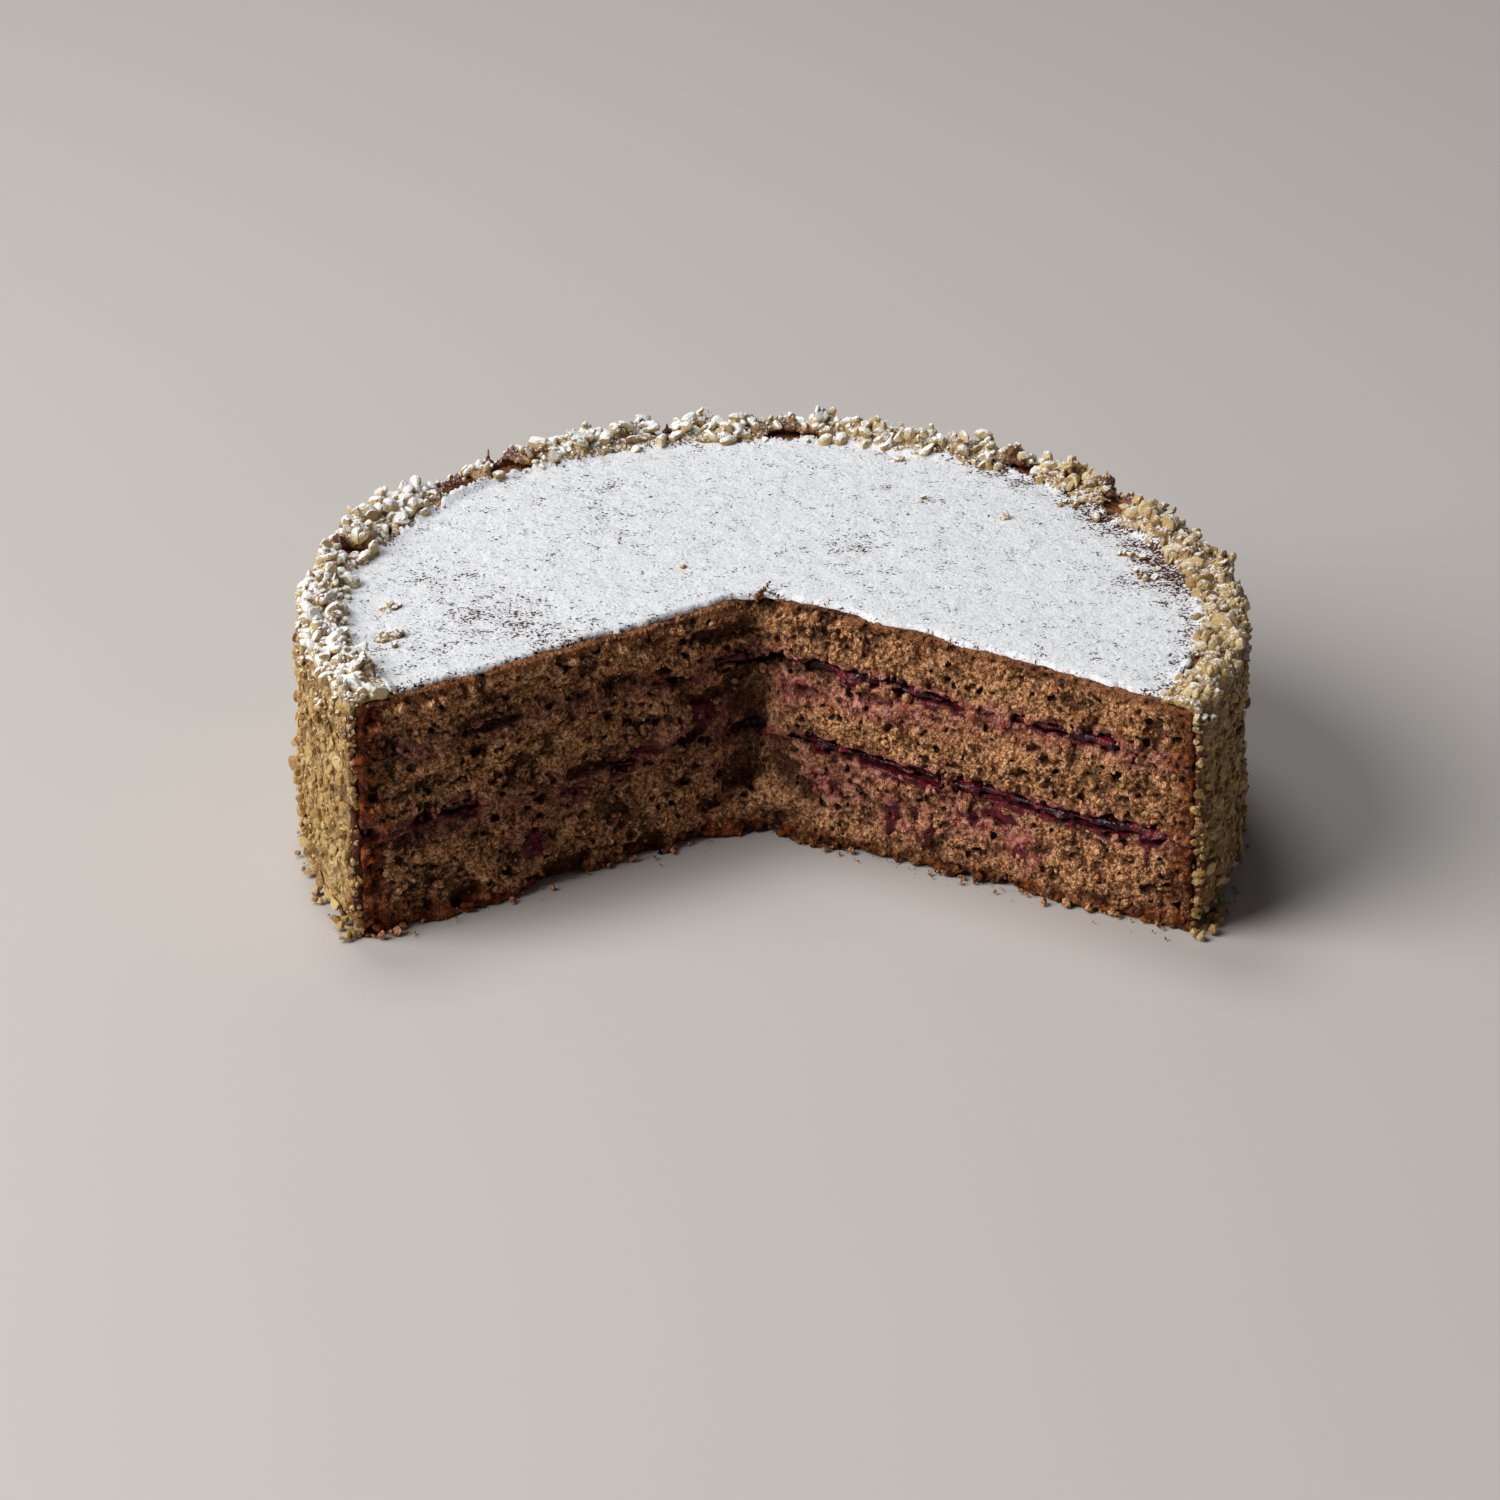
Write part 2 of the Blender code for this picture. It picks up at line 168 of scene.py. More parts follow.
# Marks of jam on the cuts: (on the left cut, distance from the tip, height, half width, half height)
JAM_RUNS = [
    (True, 104.0, 29.8, 19.0, 2.3), (True, 42.0, 31.5, 12.0, 1.6), (False, 44.0, 12.5, 3.0, 6.0),
    (False, 55.5, 9.5, 2.6, 4.5), (False, 66.0, 19.5, 4.0, 3.0), (False, 84.0, 12.0, 3.6, 4.5),
    (False, 121.0, 19.0, 2.6, 5.0), (False, 76.0, 21.5, 7.0, 2.0), (True, 71.0, 13.0, 3.4, 4.5),
    (True, 19.0, 38.0, 6.0, 6.0), (True, 60.0, 27.0, 5.0, 2.5),
]
JAM_STAINS = [
    (False, 46.0, 15.0, 9.0, 8.0), (False, 26.0, 18.0, 14.0, 6.0), (False, 70.0, 18.0, 14.0, 6.0),
    (False, 84.0, 14.0, 7.0, 8.0), (False, 40.0, 45.0, 22.0, 4.0), (False, 12.0, 44.0, 10.0, 7.0),
    (True, 60.0, 27.0, 14.0, 6.0), (True, 30.0, 34.0, 20.0, 7.0), (True, 10.0, 34.0, 12.0, 17.0),
    (True, 98.0, 28.5, 26.0, 6.0), (True, 24.0, 50.0, 18.0, 4.0), (True, 72.0, 14.0, 7.0, 7.0),
]

# Nut coat: its ground nuts, then the loose pieces on its ends, side and lip, as (how many, range of sizes)
COAT_GRID = (1.15, 0.1)
COAT_GRAIN = 2.6
COAT_GRAIN_DEPTH = 1.3
COAT_FINE_GRAIN = 1.5
COAT_FINE_DEPTH = 0.5
END_NUTS = (190, (1.4, 4.2))
FLATTENED = 0.2
BESIDE = 12.0
IN_FRONT = 9.0
DOWN = (0.0, 0.0, -1.0)
RIM_DROP_HEIGHT = 92.0
SUGAR_DROP_HEIGHT = 90.0
BIT_SPREAD = 0.6
SUGAR_BIT_SIZES = (1.4, 3.6)
FOOT_SHARE = 0.055
# Painted shade: across these x the side's nuts darken, and the rim's nuts by the share below
SIDE_SHADE_SPAN = (85.0, 122.0)
RIM_SIDE_SHADE = 0.55
BARE_SUNK = 1.2
SIDE_LARGE = (1000, (2.6, 5.6))
SIDE_SMALL = (2500, (1.6, 3.2))
SIDE_FINE = (1400, (0.9, 1.7))
RIM_LARGE = (700, (3.2, 6.0))
RIM_SMALL = (1500, (1.5, 3.2))
RIM_TOPS = (620, (2.4, 4.8))
RIM_INNER = 116.0
RIM_OUTER = 130.0
RIM_TOP = 77.6
BARE_RIM = [(-95.0, 80.0, 13.0), (-80.0, 96.0, 9.0), (3.0, 122.0, 8.0), (100.0, 72.0, 7.0), (72.0, 98.0, 8.0)]

# Loose things: nut bits on the sugar as (x, y, how many, spread), the tip's flap as (x, y, z, size), and
# crumbs and nuts on the cuts and at the foot, as (how many, range of sizes)
SUGAR_BITS = [
    (-105.1, -25.4, 14, 4.0), (-105.1, -5.8, 9, 3.2), (87.7, 72.5, 7, 3.5), (95.1, 65.5, 5, 3.0),
    (100.0, 37.3, 6, 3.0), (104.6, 23.6, 7, 3.5), (106.0, 34.0, 4, 2.5), (66.2, 61.1, 2, 2.0),
    (43.6, 74.9, 1, 1.0), (38.4, 104.5, 4, 2.5), (-25.9, 25.4, 1, 0.5),
]
CUT_CRUMBS = (1000, (0.9, 3.6))
EDGE_CRUMBS = (130, (0.8, 2.4))
TIP_FLAP = [
    (-4.6, 7.0, 68.4, 2.8), (-3.4, 8.2, 69.0, 2.6), (-2.4, 9.3, 69.9, 2.1), (-1.6, 10.1, 70.8, 1.6),
    (-1.0, 10.6, 71.6, 1.0),
]
CUT_BITS = (300, (0.9, 3.4))
FOOT_CRUMBS = (150, (0.5, 3.2))
FOOT_NUTS = (110, (1.2, 5.0))

# Sugar: its outline's step, the heights of its foot and top, how far in from the lip it thins, and thin spots
SUGAR_MIDDLE = (0.0, 60.0)
SUGAR_STEP = 1.15
SUGAR_FOOT = 68.05
SUGAR_TOP = 69.2
SUGAR_SUNK = 0.55
SUGAR_LAP = 3.2
SUGAR_BACK = 2.1
SUGAR_LAP_RISE = 1.9
SUGAR_FADE = 13.0
THIN_SUGAR = [
    (-75.0, -5.0, 16.0, 0.20), (-57.0, -24.0, 16.0, 0.16), (-90.0, -30.0, 14.0, 0.16),
    (22.0, 43.0, 9.0, 0.22), (-50.0, 80.0, 10.0, 0.18), (-50.0, 58.0, 9.0, 0.14), (106.0, 24.0, 14.0, 0.20),
    (-98.0, 18.0, 14.0, 0.14),
]

HASH_SIZE = 1 << 16
HASH_TABLE = np.random.default_rng(7).random(HASH_SIZE)


# Numbers and noise


def blot(points, x, y, width):
    """1 at a place in plan, fading away from it."""
    return np.exp(-((points[:, 0] - x) ** 2 + (points[:, 1] - y) ** 2) / width**2)


def smoothstep(low, high, x):
    t = np.clip((x - low) / (high - low), 0.0, 1.0)
    return t * t * (3.0 - 2.0 * t)


def hashed(cell, seed):
    """A number between 0 and 1 for each cell of an endless grid."""
    key = (cell[:, 0] * 73856093) ^ (cell[:, 1] * 19349663) ^ (cell[:, 2] * 83492791) ^ (seed * 2654435761)
    key ^= key >> 13
    return HASH_TABLE[(key * 1274126177 >> 7) & (HASH_SIZE - 1)]


def wave(points, size, seed):
    """Smooth noise from -1 to 1 with lumps of this size. Size may differ by axis."""
    q = points / np.asarray(size, float)
    cell = np.floor(q).astype(np.int64)
    blend = q - cell
    blend = blend * blend * (3.0 - 2.0 * blend)
    total = np.zeros(len(q))
    for corner in np.ndindex(2, 2, 2):
        weight = np.ones(len(q))
        for axis in range(3):
            weight *= blend[:, axis] if corner[axis] else 1.0 - blend[:, axis]
        total += weight * hashed(cell + np.array(corner), seed)
    return 2.0 * total - 1.0


def grains(points, size, seed):
    """For a scatter of grains: distance to the nearest and the next one's edge, and its own number."""
    q = points / np.asarray(size, float)
    cell = np.floor(q).astype(np.int64)
    nearest = np.full(len(q), 9.0)
    second = np.full(len(q), 9.0)
    number = np.zeros(len(q))
    for step in np.ndindex(3, 3, 3):
        near = cell + np.array(step) - 1
        seat = np.stack([near[:, axis] + hashed(near, seed + axis) for axis in range(3)], axis=1)
        distance = np.sqrt(((q - seat) ** 2).sum(axis=1))
        closer = distance < nearest
        second = np.minimum(second, np.where(closer, nearest, distance))
        nearest = np.where(closer, distance, nearest)
        number = np.where(closer, hashed(near, seed + 5), number)
    return nearest, second - nearest, number


def bend(points, reach, size, seed):
    """Points pushed about by smooth noise, so that what is worked out from them loses its even outlines."""
    return points + reach * np.stack([wave(points, size, seed + axis) for axis in range(3)], axis=1)


# The cake's own shape, on arrays of points in millimetres from the axis


def to_axis(points):
    return points * 1000.0 - np.array((0.0, AXIS_Y, 0.0))


def to_frame(points):
    return (points + np.array((0.0, AXIS_Y, 0.0))) / 1000.0


def plan_radius(points):
    return np.hypot(points[:, 0], points[:, 1])


def knife(cut, z):
    share = np.asarray(z, float) / HEIGHT
    angle = np.radians(cut[0] + (cut[1] - cut[0]) * share)
    apex = APEX_FOOT + (APEX_TOP - APEX_FOOT) * share[..., None]
    return apex, np.stack([np.cos(angle), np.sin(angle)], axis=-1)


def from_cuts(points):
    """Each point's distance along the nearer cut and out of it into the wedge, and whether it's the left."""
    found = []
    for cut, turn in ((LEFT_CUT, 1.0), (RIGHT_CUT, -1.0)):
        apex, along = knife(cut, points[:, 2])
        away = points[:, :2] - apex
        outward = np.stack([-along[:, 1], along[:, 0]], axis=1) * turn
        found.append(((away * along).sum(axis=1), (away * outward).sum(axis=1)))
    (left_along, left_out), (right_along, right_out) = found
    is_left = left_out < right_out
    return np.where(is_left, left_along, right_along), np.minimum(left_out, right_out), is_left


def cut_length(cut, radius, z):
    """Distance from the tip along a cut to where it meets this radius."""
    start, along = knife(cut, z)
    middle = -(start * along).sum(axis=-1)
    return middle + np.sqrt(middle**2 - (start**2).sum(axis=-1) + np.asarray(radius) ** 2)


def around(angle, radius, z):
    return np.stack([radius * np.cos(angle), radius * np.sin(angle), z], axis=1)


def corner_angle(cut, radius, z):
    start, along = knife(cut, z)
    corner = start + along * cut_length(cut, radius, z)[..., None]
    return np.arctan2(corner[..., 1], corner[..., 0]) % (2 * math.pi)


def sweep_angle(share, radius, z):
    first = corner_angle(RIGHT_CUT, radius, z) - 2 * math.pi
    last = corner_angle(LEFT_CUT, radius, z)
    return first + (last - first) * share


def lip_inner_radius(angle):
    spots = np.stack([np.cos(angle), np.sin(angle)], axis=-1) * LIP_INNER_RADIUS / LIP_WAVELENGTH
    return LIP_INNER_RADIUS + LIP_WAVE * np.array([noise.noise(Vector((x, y, LIP_SEED))) for x, y in spots])


def seam_height(seam, points):
    waves = [noise.noise(Vector((x, y, seam["seed"]))) for x, y in points[:, :2] / SEAM_WAVELENGTH]
    return seam["height"] + seam["slope"] * points[:, 0] + SEAM_WAVE * np.array(waves)


# Meshes


def new_piece(name, points, quads=(), triangles=(), marks=None, smooth=True, material=None):
    """A mesh object from arrays of points in millimetres from the axis. Marks are values at the points."""
    quads = np.asarray(quads, np.int64).reshape(-1, 4)
    triangles = np.asarray(triangles, np.int64).reshape(-1, 3)
    points[:, 2] = np.maximum(points[:, 2], 0.0)
    mesh = bpy.data.meshes.new(name)
    corners = np.concatenate([quads.ravel(), triangles.ravel()])
    starts = np.concatenate([np.arange(len(quads)) * 4, len(quads) * 4 + np.arange(len(triangles)) * 3])
    mesh.vertices.add(len(points))
    mesh.vertices.foreach_set("co", to_frame(points).astype(np.float32).ravel())
    mesh.loops.add(len(corners))
    mesh.loops.foreach_set("vertex_index", corners.astype(np.int32))
    mesh.polygons.add(len(starts))
    mesh.polygons.foreach_set("loop_start", starts.astype(np.int32))
    mesh.update(calc_edges=True)
    mesh.validate()
    mesh.polygons.foreach_set("use_smooth", np.full(len(mesh.polygons), smooth))
    for mark, values in (marks or {}).items():
        layer = mesh.attributes.new(mark, "FLOAT", "POINT")
        layer.data.foreach_set("value", np.asarray(values, np.float32))
    mesh.update()
    piece = bpy.data.objects.new(name, mesh)
    bpy.context.scene.collection.objects.link(piece)
    if material is not None:
        mesh.materials.append(material)
    return piece


def mesh_arrays(piece):
    """An object's points, in millimetres from the axis, and its triangles."""
    mesh = piece.data
    mesh.calc_loop_triangles()
    points = np.empty(len(mesh.vertices) * 3, np.float32)
    mesh.vertices.foreach_get("co", points)
    triangles = np.empty(len(mesh.loop_triangles) * 3, np.int32)
    mesh.loop_triangles.foreach_get("vertices", triangles)
    return to_axis(points.reshape(-1, 3).astype(float)), triangles.reshape(-1, 3)


def carved(node, carve, voxel, adaptivity):
    """A node's surface after carve(points, distance) has roughened it, on a grid of distances to it."""
    points, triangles = mesh_arrays(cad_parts[node])
    grid = vdb.FloatGrid.createLevelSetFromPolygons(
        points.astype(np.float32),
        triangles=triangles.astype(np.uint32),
        transform=vdb.createLinearTransform(voxelSize=voxel),
        halfWidth=BAND / voxel,
    )
    low, high = (np.array(corner) for corner in grid.evalActiveVoxelBoundingBox())
    dense = np.empty(high - low + 1, np.float32)
    grid.copyToArray(dense, ijk=tuple(int(i) for i in low))
    where = np.nonzero(np.abs(dense) < BAND * 0.98)
    places = (np.stack(where, axis=1) + low) * voxel
    dense[where] = carve(places, dense[where].astype(float))
    rough = vdb.FloatGrid(grid.background)
    rough.transform = grid.transform
    rough.gridClass = vdb.GridClass.LEVEL_SET
    rough.copyFromArray(dense, ijk=tuple(int(i) for i in low), tolerance=0.0)
    found, tris, quads = rough.convertToPolygons(isovalue=0.0, adaptivity=adaptivity)
    return found.astype(float), quads[:, ::-1].astype(np.int64), tris[:, ::-1].astype(np.int64)


def surface_of(pieces):
    """A search tree over several pieces' faces, in millimetres from the axis."""
    corners, faces = [], []
    for piece in pieces:
        points, triangles = mesh_arrays(piece)
        faces.append(triangles + sum(len(found) for found in corners))
        corners.append(points)
    return BVHTree.FromPolygons(np.concatenate(corners).tolist(), np.concatenate(faces).tolist())


# Crumb and jam


def pores(points, spacing, smallest, largest, flatness, seed):
    """How far each point is inside the nearest hole, negative outside. Flatness is width by height."""
    q = points / spacing
    cell = np.floor(q).astype(np.int64)
    deepest = np.full(len(q), NO_HOLE)
    for step in np.ndindex(3, 3, 3):
        near = cell + np.array(step) - 1
        radius = smallest + (largest - smallest) * hashed(near, seed + 5) ** 2
        square = np.zeros(len(q))
        for axis in range(3):
            away = (q[:, axis] - near[:, axis] - hashed(near, seed + axis)) * spacing
            square += (away * (flatness if axis == 2 else 1.0)) ** 2
        deepest = np.maximum(deepest, radius - np.sqrt(square))
    return deepest


def spots(along, z, is_left, places):
    """How far inside a few ovals each point is: (on the left cut, along, height, half width, half height)."""
    inside = np.zeros(len(z))
    for on_left, middle, height, width, tallness in places:
        oval = ((along - middle) / width) ** 2 + ((z - height) / tallness) ** 2
        inside = np.maximum(inside, np.exp(-oval) * (is_left == on_left))
    return inside


def seam_distances(points):
    return (
        points[:, 2] - seam_height(LOWER_SEAM, points),
        points[:, 2] - seam_height(UPPER_SEAM, points),
    )


def wetness(points):
    """Where jam has soaked the crumb beside its seam or run down over it, from 0 to 1."""
    along, out, is_left = from_cuts(points)
    frayed = bend(points, 1.5, 2.8, 61) - points
    bent = along + 1.6 * wave(points, 5.0, 64) + frayed[:, 0]
    runs = spots(bent, points[:, 2] + 1.2 * wave(points, 4.0, 65) + frayed[:, 2], is_left, JAM_RUNS)
    soaked = np.zeros(len(along))
    bare = [1.0 - share for share in covered(points, along, is_left)]
    for away, seed, half, shown in zip(seam_distances(points), (66, 67), SOAK_HALF_HEIGHTS, bare):
        reach = half * (0.55 + 0.75 * wave(points, (11.0, 11.0, 40.0), seed))
        from_edge = np.where(away < 0, -away - 1.2, 1.6 * (away - 1.0)) + 0.8 * frayed[:, 2]
        soaked = np.maximum(soaked, shown * smoothstep(0.5, -0.3, from_edge - reach))
    return np.maximum(smoothstep(0.4, 0.6, runs), soaked) * smoothstep(-6.0, -3.0, out)


def crumb(points, distance):
    """Torn crumb over the cut: grains, open pores and ragged edges."""
    along, out, is_left = from_cuts(points)
    open_cut = smoothstep(-5.5, -2.5, out)
    result = distance.copy()
    near = open_cut > 0
    cut = open_cut[near]
    rough, holes, torn = crumb_fields(points[near])
    holes = np.maximum(holes, torn)
    rough *= 1.0 - 0.45 * wetness(points[near])
    rough *= 1.0 - 0.75 * smoothstep(HEIGHT - 1.6, HEIGHT - 0.4, points[near][:, 2])
    at_coat = smoothstep(SPONGE_RADIUS - 3.0, SPONGE_RADIUS - 0.8, plan_radius(points[near]))
    rough = rough * (1.0 - 0.55 * at_coat) - COAT_GAP_FILLED * at_coat
    rough -= over_seams(points[near], along[near], is_left[near])
    holes = np.where(out[near] > -HOLE_REACH - 1.5 * (holes > 1.5), holes, NO_HOLE)
    result[near] = np.maximum(distance[near] + np.clip(rough, -RELIEF_LIMIT, RELIEF_LIMIT) * cut, holes)
    return result


def covered(points, along, is_left):
    """How far crumb hides the lower and the upper seam, each from 0 to 1."""
    frayed = along + 3.5 * wave(points, (6.0, 6.0, 60.0), 68)
    shares = []
    for upper, seed in ((False, 69), (True, 70)):
        share = smoothstep(0.38, 0.62, wave(points, (7.0, 7.0, 60.0), seed) + 0.3 * is_left)
        for on_left, on_upper, middle, half in COVERED_SEAMS:
            if on_upper == upper:
                inside = smoothstep(half, half - 3.0, np.abs(frayed - middle))
                share = np.maximum(share, inside * (is_left == on_left))
        shares.append(share)
    return shares


def over_seams(points, along, is_left):
    """How far crumb has been dragged out over the jam at its seams."""
    dragged = np.zeros(len(points))
    for away, share in zip(seam_distances(points), covered(points, along, is_left)):
        dragged = np.maximum(dragged, share * np.exp(-((away / 2.8) ** 2)))
    return DRAGGED_OVER * dragged


def crumb_fields(points):
    """Depth of the crumb's relief by its grains and clods, and depth in a pore and in a torn place."""
    bent = bend(bend(points, 1.0, 2.6, 51), 0.5, 1.2, 54)
    grain = grains(bent, GRAIN, 11)[0]
    clods, seam, _ = grains(bent, (CLOD, CLOD, 0.8 * CLOD), 37)
    cracked = smoothstep(-0.25, 0.35, wave(points, 9.0, 57))
    crack = (1.0 - smoothstep(0.0, CRACK_WIDTH, seam)) * cracked
    clod = CLOD_DEPTH * (clods - 0.5) + CRACK_DEPTH * crack + 0.6 * wave(points, 1.3, 59)
    clod += 0.9 * wave(points, 3.6, 60)
    ledge = LEDGE_DEPTH + TIP_LEDGE_DEPTH * smoothstep(50.0, 10.0, plan_radius(points))
    along, out, is_left = from_cuts(bend(points, 1.8, 3.4, 53))
    clod += (ledge + LEFT_LEDGE_DEPTH * is_left) * wave(points, (9.0, 9.0, 5.0), 62)
    holes = np.maximum(pores(bent, 7.0, 0.2, 2.4, 1.6, 41), pores(bent, 2.9, 0.1, 1.35, 1.2, 47))
    torn_most = np.full(len(points), NO_HOLE)
    for on_left, middle, height, width, tallness, depth in TORN:
        oval = ((along - middle) / width) ** 2 + ((points[:, 2] - height) / tallness) ** 2
        oval += (out / depth) ** 2
        torn = (1.0 - np.sqrt(oval)) * min(width, tallness, depth)
        torn_most = np.maximum(torn_most, np.where(is_left == on_left, torn, NO_HOLE))
    return GRAIN_DEPTH * (grain - GRAIN_MIDDLE) + clod, holes, torn_most


def wet_jam(points, distance):
    """Jam that swells out of the cut in smooth lumps and draws back between them."""
    along, out, is_left = from_cuts(points)
    open_cut = smoothstep(-6.0, -2.0, out)
    lumps = 0.9 * wave(points, (7.0, 7.0, 9.0), 71) + 0.6 * wave(points, (2.4, 2.4, 1.8), 73)
    lower, upper = covered(points, along, is_left)
    hidden = np.where(points[:, 2] > 0.5 * (LOWER_SEAM["height"] + UPPER_SEAM["height"]), upper, lower)
    return distance - open_cut * (lumps * (1.0 - hidden) - JAM_DRAWN_BACK - JAM_HIDDEN * hidden)


def crumb_marks(points):
    """What the crumb's colours go by, each 0 to 1: painted shade in its pits and hollows, how stained, wet and
    baked, and where it is.
    """
    along, out, is_left = from_cuts(points)
    z = points[:, 2]
    radius = plan_radius(points)
    lower, upper = seam_distances(points)
    ragged = 1.4 * wave(points, 5.0, 81) + 0.7 * wave(points, 2.0, 82)
    stain = np.zeros(len(z))
    for away, patchy in ((lower, 83), (upper, 84)):
        patch = 0.5 + 0.5 * wave(points, (13.0, 13.0, 30.0), patchy)
        below = smoothstep(-2.5 - 7.0 * patch, -1.5, away + ragged) * (away < 0)
        above = smoothstep(5.0, 1.5, away + ragged) * (away >= 0)
        stain = np.maximum(stain, (below * (0.35 + 0.65 * patch)) + 0.8 * above)
    stain = np.maximum(stain, spots(along, z, is_left, JAM_STAINS))
    crust = np.maximum.reduce([
        smoothstep(SPONGE_RADIUS - 8.5, SPONGE_RADIUS - 3.0, radius + 1.8 * ragged),
        smoothstep(FOOT_CRUST + 6.0 * smoothstep(104.0, 124.0, radius), 2.0, z + 1.5 * ragged),
    ])
    top = smoothstep(HEIGHT - 2.6, HEIGHT - 0.9, z + 0.35 * ragged)
    # Painted shade: darker in the relief's hollows, in pores and in torn places, less so next to the coat
    shown = out > -HOLE_REACH - 2.0
    deep = np.zeros(len(z))
    rough, holes, torn = crumb_fields(points[shown])
    deep[shown] = np.maximum(smoothstep(0.1, 1.8, rough), smoothstep(-0.6, 0.1, holes))
    deep[shown] = np.maximum(deep[shown], 0.9 * smoothstep(-0.7, 0.8, torn))
    deep *= 1.0 - 0.75 * smoothstep(SPONGE_RADIUS - 2.5, SPONGE_RADIUS - 0.6, radius)
    return {
        "deep": deep,
        "stain": np.clip(stain, 0.0, 1.0),
        "wet": wetness(points),
        "crust": crust,
        "top": top,
        "left": is_left.astype(float),
    }


def dress(name, slot, node, grid, carve, marks, material):
    """The piece that stands for a node: its surface carved, with the marks that its colours go by."""
    points, quads, triangles = carved(node, carve, *grid)
    found = marks(points) if marks else None
    return settle(new_piece(name, points, quads, triangles, found, material=material), slot, node)


def settle(piece, slot, *nodes):
    """Rides on the cake, and hides the nodes that it stands for. Its slot is not used."""
    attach(piece, "root")
    if nodes:
        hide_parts(*nodes)
    return piece


# Nuts


def nut_coat(points, distance):
    """Ground nuts pressed into the side and the lip, as close grains of a few sizes."""
    coarse = grains(points, COAT_GRAIN, 101)[0]
    fine = grains(points, COAT_FINE_GRAIN, 103)[0]
    relief = COAT_GRAIN_DEPTH * (coarse - 0.5) + COAT_FINE_DEPTH * (fine - 0.5)
    relief += 0.5 * wave(points, 9.0, 105)
    radius = plan_radius(points)
    shown = np.maximum(smoothstep(128.6, 129.8, radius), smoothstep(67.5, 68.6, points[:, 2]))
    shown = np.maximum(shown, 0.8 * smoothstep(-3.0, -1.5, from_cuts(points)[1]))
    bare = rim_bareness(points) * smoothstep(67.5, 69.0, points[:, 2])
    return distance + relief * shown * (1.0 - 0.7 * bare) + BARE_SUNK * bare


def coat_marks(points):
    """What the coat's colours go by, each 0 to 1: the gaps between the grains, where shade is painted, the
    grains' tones, where on the coat it is, and painted shade on its right side.
    """
    gap, _, tone = grains(points, COAT_GRAIN, 101)
    out = from_cuts(points)[1]
    patch = wave(points, 14.0, 107)
    lip = smoothstep(66.5, 69.5, points[:, 2] + 1.2 * wave(points, 4.0, 109))
    end = smoothstep(-3.6, -1.2, out + 1.2 * wave(points, 3.0, 111)) * smoothstep(67.5, 65.0, points[:, 2])
    foot = smoothstep(9.0, 2.5, points[:, 2] + 2.5 * patch)
    return {
        "gap": gap,
        "tone": tone,
        "lip": lip,
        "cut_end": end,
        "foot": foot,
        "bare": lip * rim_bareness(points),
        # Painted shade on the coat's right side, below the lip
        "moist": (1.0 - lip) * smoothstep(*SIDE_SHADE_SPAN, points[:, 0]),
    }


def nut_shapes(count, subdivisions, breaks, rng):
    """Unit pieces of chopped nut, as corners and triangles: rounded lumps with a few flat broken faces."""
    shapes = []
    for _ in range(count):
        mesh = bmesh.new()
        bmesh.ops.create_icosphere(mesh, subdivisions=subdivisions, radius=1.0)
        points = np.array([vertex.co[:] for vertex in mesh.verts])
        triangles = np.array([[vertex.index for vertex in face.verts] for face in mesh.faces])
        mesh.free()
        points *= 1.0 + 0.22 * wave(points + rng.uniform(0, 50, 3), 0.9, 121)[:, None]
        for _ in range(breaks):
            way = rng.normal(size=3)
            way /= np.linalg.norm(way)
            level = rng.uniform(0.3, 0.7)
            past = np.maximum(points @ way - level, 0.0)
            points -= past[:, None] * way
        points *= rng.uniform((0.8, 0.6, 0.5), (1.35, 1.0, 0.85))
        shapes.append((points, triangles))
    return shapes


def random_turns(count, rng):
    quaternions = rng.normal(size=(count, 4))
    quaternions /= np.linalg.norm(quaternions, axis=1)[:, None]
    w, x, y, z = quaternions.T
    rows = [
        [1 - 2 * (y * y + z * z), 2 * (x * y - w * z), 2 * (x * z + w * y)],
        [2 * (x * y + w * z), 1 - 2 * (x * x + z * z), 2 * (y * z - w * x)],
        [2 * (x * z - w * y), 2 * (y * z + w * x), 1 - 2 * (x * x + y * y)],
    ]
    return np.moveaxis(np.array(rows), 2, 0)


def strew(name, slot, seats, sizes, shapes, material, rng, marks=None, flat=None):
    """One mesh of many pieces: each at its seat, turned at random and scaled to its size."""
    count = len(seats)
    turns = random_turns(count, rng)
    picks = rng.integers(0, len(shapes), count)
    marks = {"tone": rng.random(count), **(marks or {})}
    points, triangles, lengths = [], [], []
    for index, (seat, size) in enumerate(zip(seats, sizes)):
        corners, faces = shapes[picks[index]]
        shaped = (corners @ turns[index].T) * (0.5 * size)
        if flat is not None:
            shaped = shaped - FLATTENED * (shaped @ flat[index])[:, None] * flat[index]
        points.append(shaped + seat)
        triangles.append(faces + sum(lengths))
        lengths.append(len(corners))
    found = {mark: np.repeat(np.broadcast_to(values, count), lengths) for mark, values in marks.items()}
    points, triangles = np.concatenate(points), np.concatenate(triangles)
    return settle(new_piece(name, points, (), triangles, found, smooth=False, material=material), slot)


def drop_on(surface, starts, way, reach=40.0):
    """Where rays from these starts meet the surface: a list of (index, point, normal)."""
    found = []
    for index, start in enumerate(starts):
        towards = Vector(way[index] if np.ndim(way) == 2 else way)
        point, normal, _, _ = surface.ray_cast(Vector(start), towards, reach)
        if point is not None:
            if normal.dot(towards) > 0:
                normal = -normal
            found.append((index, np.array(point), np.array(normal)))
    return found


def draw_sizes(sizes, count, power, rng):
    """Random sizes between two, most of them small: the more so, the higher the power."""
    return sizes[0] + (sizes[1] - sizes[0]) * rng.random(count) ** power


def land(surface, starts, way, reach, size, lift):
    """Seats, sizes and numbers of the pieces whose rays meet the surface. Lift is a share of the size."""
    hits = drop_on(surface, starts, way, reach)
    seats = np.array([point + normal * size[index] * lift for index, point, normal in hits])
    return seats, np.array([size[index] for index, _, _ in hits]), [index for index, _, _ in hits]


def coat_angle(share):
    return sweep_angle(np.asarray(share), COAT_RADIUS, np.full(np.shape(share), 40.0))


